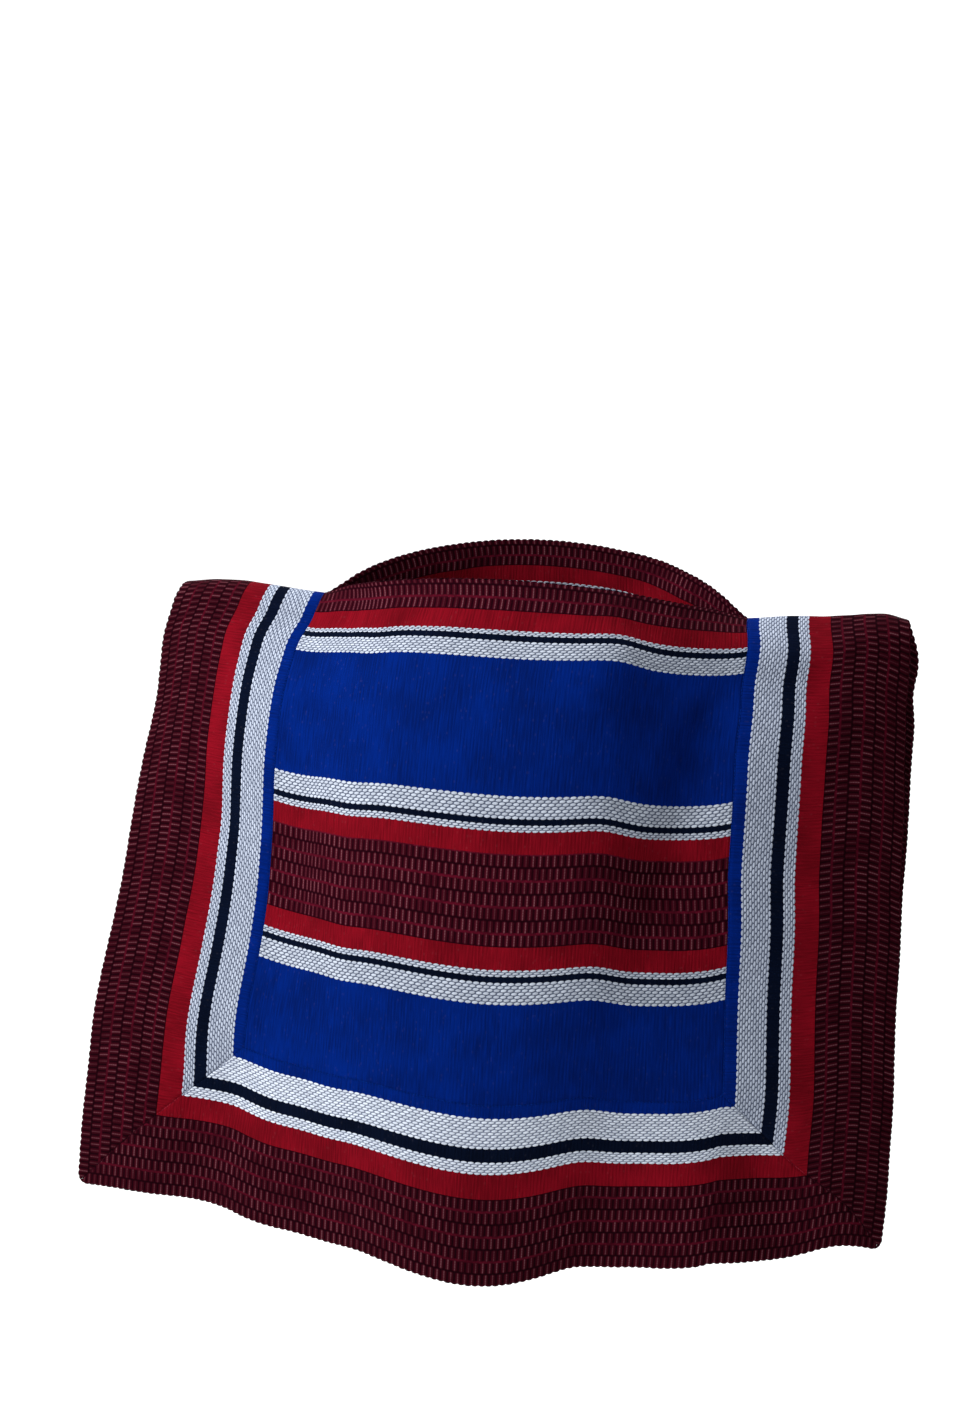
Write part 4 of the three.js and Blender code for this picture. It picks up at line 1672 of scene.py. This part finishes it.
@dataclass
class Studio:
    """The plain studio: a pale sweep, soft light mainly from the left, and the camera.

    The camera's angles are in degrees, and its picture sizes in pixels of the photograph.
    """

    floor_height: float = -0.9
    depth: float = 2.4
    width: float = 9.0
    bend: float = 0.9
    wall: float = 4.0
    azimuth: float = 10.0
    elevation: float = 6.5
    roll: float = 2.5
    distance: float = 1.26
    aim: tuple[float, float, float] = (-0.03013, 0.0, -0.05937)
    sensor: float = 36.0
    focal_pixels: float = 2200.0
    picture_height: float = 1405.0

    def build_floor(self) -> bpy.types.Object:
        """Models the floor with a soft bend up to a plain wall behind.

        Returns:
            The sweep.
        """
        bpy.ops.object.select_all(action="DESELECT")
        bpy.ops.mesh.primitive_plane_add(size=1.0)
        sweep = bpy.context.active_object
        sweep.name = "studio_sweep"
        bpy.ops.object.mode_set(mode="EDIT")
        bpy.ops.transform.resize(value=(self.width, 2 * self.depth, 1))
        bpy.ops.transform.translate(value=(0, 0, self.floor_height))
        bpy.ops.mesh.select_all(action="DESELECT")
        bpy.ops.object.mode_set(mode="OBJECT")
        for vertex in sweep.data.vertices:
            vertex.select = vertex.co.y > 0
        for edge in sweep.data.edges:
            edge.select = all(sweep.data.vertices[i].co.y > 0 for i in edge.vertices)
        bpy.ops.object.mode_set(mode="EDIT")
        steps = 10
        for i in range(steps):
            turn, next_turn = (math.pi / 2 * (i + k) / steps for k in (0, 1))
            ahead = self.bend * (math.sin(next_turn) - math.sin(turn))
            rise = self.bend * (math.cos(turn) - math.cos(next_turn))
            bpy.ops.mesh.extrude_region_move(TRANSFORM_OT_translate={"value": (0, ahead, rise)})
        bpy.ops.mesh.extrude_region_move(TRANSFORM_OT_translate={"value": (0, 0, self.wall)})
        bpy.ops.mesh.select_all(action="SELECT")
        bpy.ops.mesh.normals_make_consistent(inside=False)
        bpy.ops.object.mode_set(mode="OBJECT")
        sweep.data.shade_smooth()
        material, graph, shader = new_finish("pale_sweep")
        graph.fill(shader, {
            "Base Color": (0.92, 0.92, 0.92, 1),
            "Roughness": 1.0,
            "Specular IOR Level": 0.0,
            "Emission Color": (1, 1, 1, 1),
            "Emission Strength": 0.1,
        })
        sweep.data.materials.append(material)
        return sweep

    def light(self) -> None:
        """Lights the room softly, with the larger lamp on the left."""
        world = bpy.data.worlds.new("pale_room")
        world.use_nodes = True
        background = world.node_tree.nodes["Background"]
        background.inputs[0].default_value = (0.96, 0.98, 1.0, 1)
        background.inputs[1].default_value = 0.3
        bpy.context.scene.world = world
        lamps = (
            ("left_lamp", (-1.0, -0.85, 0.5), (-0.1, 0, -0.12), 0.6, 22.0),
            ("high_lamp", (-0.5, -0.9, 1.9), (0, 0, -0.16), 1.4, 2.0),
            ("backdrop_lamp", (0.0, 1.0, 2.6), (0, 3.3, 0.2), 2.4, 130.0),
        )
        for name, place, goal, size, power in lamps:
            data = bpy.data.lights.new(name, "AREA")
            data.shape, data.size, data.energy = "SQUARE", size, power
            lamp = bpy.data.objects.new(name, data)
            lamp.location = place
            lamp.visible_camera = False
            aim = Vector(goal) - Vector(place)
            lamp.rotation_euler = aim.to_track_quat("-Z", "Y").to_euler()
            bpy.context.scene.collection.objects.link(lamp)

    def place_camera(self) -> None:
        """Places the camera where the photograph was taken from."""
        azimuth, elevation, roll = (
            math.radians(angle) for angle in (self.azimuth, self.elevation, self.roll)
        )
        place = self.distance * Vector((
            math.sin(azimuth) * math.cos(elevation),
            -math.cos(azimuth) * math.cos(elevation),
            math.sin(elevation),
        ))
        ahead = (Vector(self.aim) - place).normalized()
        level = ahead.cross(Vector((0, 0, 1))).normalized()
        above = level.cross(ahead)
        right = level * math.cos(roll) + above * math.sin(roll)
        up = above * math.cos(roll) - level * math.sin(roll)
        data = bpy.data.cameras.new("camera")
        data.sensor_width = self.sensor
        data.lens = self.focal_pixels * self.sensor / self.picture_height
        data.clip_start, data.clip_end = 0.01, 50.0
        camera = bpy.data.objects.new("camera", data)
        turn = Matrix((right, up, -ahead)).transposed()
        camera.matrix_world = Matrix.Translation(place) @ turn.to_4x4()
        bpy.context.scene.collection.objects.link(camera)
        bpy.context.scene.camera = camera
        bpy.context.scene.view_settings.view_transform = "Standard"

    def build(self) -> None:
        """Sets up the whole studio."""
        self.place_camera()
        self.build_floor()
        self.light()


@dataclass
class Poncho:
    """The whole poncho: six cloth pieces, their seams and their edges."""

    cloth: Cloth = field(default_factory=Cloth)
    pieces: dict[str, bpy.types.Object] = field(default_factory=dict)

    def _keep(self, piece: bpy.types.Object, material: bpy.types.Material) -> None:
        """Dresses a piece and lets it move with the poncho.

        Args:
            piece: the piece.
            material: its finish.
        """
        piece.data.materials.append(material)
        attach(piece, "root")
        self.pieces[piece.name] = piece
        log.info("%s: %d faces", piece.name, len(piece.data.polygons))

    def build_cloth(self) -> None:
        """Builds the six cloth pieces over their solids."""
        groups = WeaveGroups(brick_loops(), figured_rows(), rib_streaks())
        panel_finish = StripedCloth(
            # Three copies of one striped cloth: the panels' and side bands' whites and the bands'
            # maroon are darker, as painted shade.
            "panel_stripes", PANEL_STRIPES, PANEL_LENGTH, groups, neck_figure=True,
            white=SHADED_PANEL_WHITE, white_gap_shade=SHADED_GAP,
        ).make()
        hem_finish = StripedCloth(
            "hem_stripes", BAND_STRIPES, BAND_WIDTH, groups, maroon_painted_shade=0.84
        ).make()
        side_finish = StripedCloth(
            "side_stripes", BAND_STRIPES, BAND_WIDTH, groups,
            white=SHADED_SIDE_WHITE, white_gap_shade=SHADED_GAP, maroon_painted_shade=0.74,
        ).make()
        finishes = {Panel: panel_finish, SideBand: side_finish, HemBand: hem_finish}
        parts: tuple[ClothPiece, ...] = (
            Panel("front_panel_cloth", "front_panel", "panel_cloth", self.cloth, side=Side.FRONT),
            Panel("back_panel_cloth", "back_panel", "panel_cloth", self.cloth, side=Side.BACK),
            SideBand("left_band_cloth", "left_side_band", "band_cloth", self.cloth, left=True),
            SideBand("right_band_cloth", "right_side_band", "band_cloth", self.cloth, left=False),
            HemBand("front_hem_cloth", "front_hem_band", "band_cloth", self.cloth, side=Side.FRONT),
            HemBand("back_hem_cloth", "back_hem_band", "band_cloth", self.cloth, side=Side.BACK),
        )
        for part in parts:
            piece = part.build()
            self._keep(piece, finishes[type(part)])
            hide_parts(part.node)

    def _sew_layer(self, side: Side, finishes: dict[Dye, bpy.types.Material]) -> None:
        """Sews the seams of one layer, its mitres and its neck and hem edges.

        Args:
            side: the front or the back.
            finishes: the sewing yarns over each kind of stripe.
        """
        name, sign = side.name.lower(), -side.value
        top, low = sign * 1.0, sign * PANEL_LENGTH
        up, down = (0.0, -sign * 1.0), (0.0, sign * 1.0)
        seams = (
            ((PANEL_HALF, top), (PANEL_HALF, low)),
            ((-PANEL_HALF, top), (-PANEL_HALF, low)),
            ((-PANEL_HALF, low), (PANEL_HALF, low)),
        )
        row = YarnRow(
            f"{name}_panel_seams", self.cloth, STITCH, seams, ((-1.0, 0.0), (1.0, 0.0), up)
        )
        self._keep(row.build(), finishes[Dye.BLUE])
        for dye, yarn in SEWING.items():
            mitres = tuple(
                tuple((way * (PANEL_HALF + place), low + sign * place) for place in span)
                for way in (1, -1)
                for span in stripe_spans(BAND_STRIPES, BAND_WIDTH - MITRE_END, dye)
            )
            inward = (up,) * len(mitres)
            row = YarnRow(f"{name}_mitre_{yarn.label}", self.cloth, STITCH, mitres, inward)
            self._keep(row.build(), finishes[dye])
        edges = (
            ("hem", HALF_WIDTH, sign * LENGTH, up, "band_cloth"),
            ("neck", PANEL_HALF, sign * NECK_END_GAP / 2, down, "panel_cloth"),
        )
        for label, half, place, inward, slot in edges:
            run = ((-half, place), (half, place))
            row = YarnRow(f"{name}_{label}_edge", self.cloth, EDGE, (run,), (inward,))
            self._keep(row.build(), finishes[Dye.MAROON])

    def build_sewing(self) -> None:
        """Sews the seams and finishes the free edges with rows of yarn loops."""
        finishes = {dye: yarn.make() for dye, yarn in SEWING.items()}
        for side in Side:
            self._sew_layer(side, finishes)
        for name, way in (("left", 1), ("right", -1)):
            run = ((way * HALF_WIDTH, LENGTH), (way * HALF_WIDTH, -LENGTH))
            inward = (-way * 1.0, 0.0)
            row = YarnRow(f"{name}_side_edge", self.cloth, EDGE, (run,), (inward,))
            self._keep(row.build(), finishes[Dye.MAROON])


def main() -> None:
    """Builds the studio and the poncho."""
    logging.basicConfig(level=logging.INFO, format="%(name)s: %(message)s")
    Studio().build()
    poncho = Poncho()
    poncho.build_cloth()
    poncho.build_sewing()


if __name__ == "__main__":
    main()
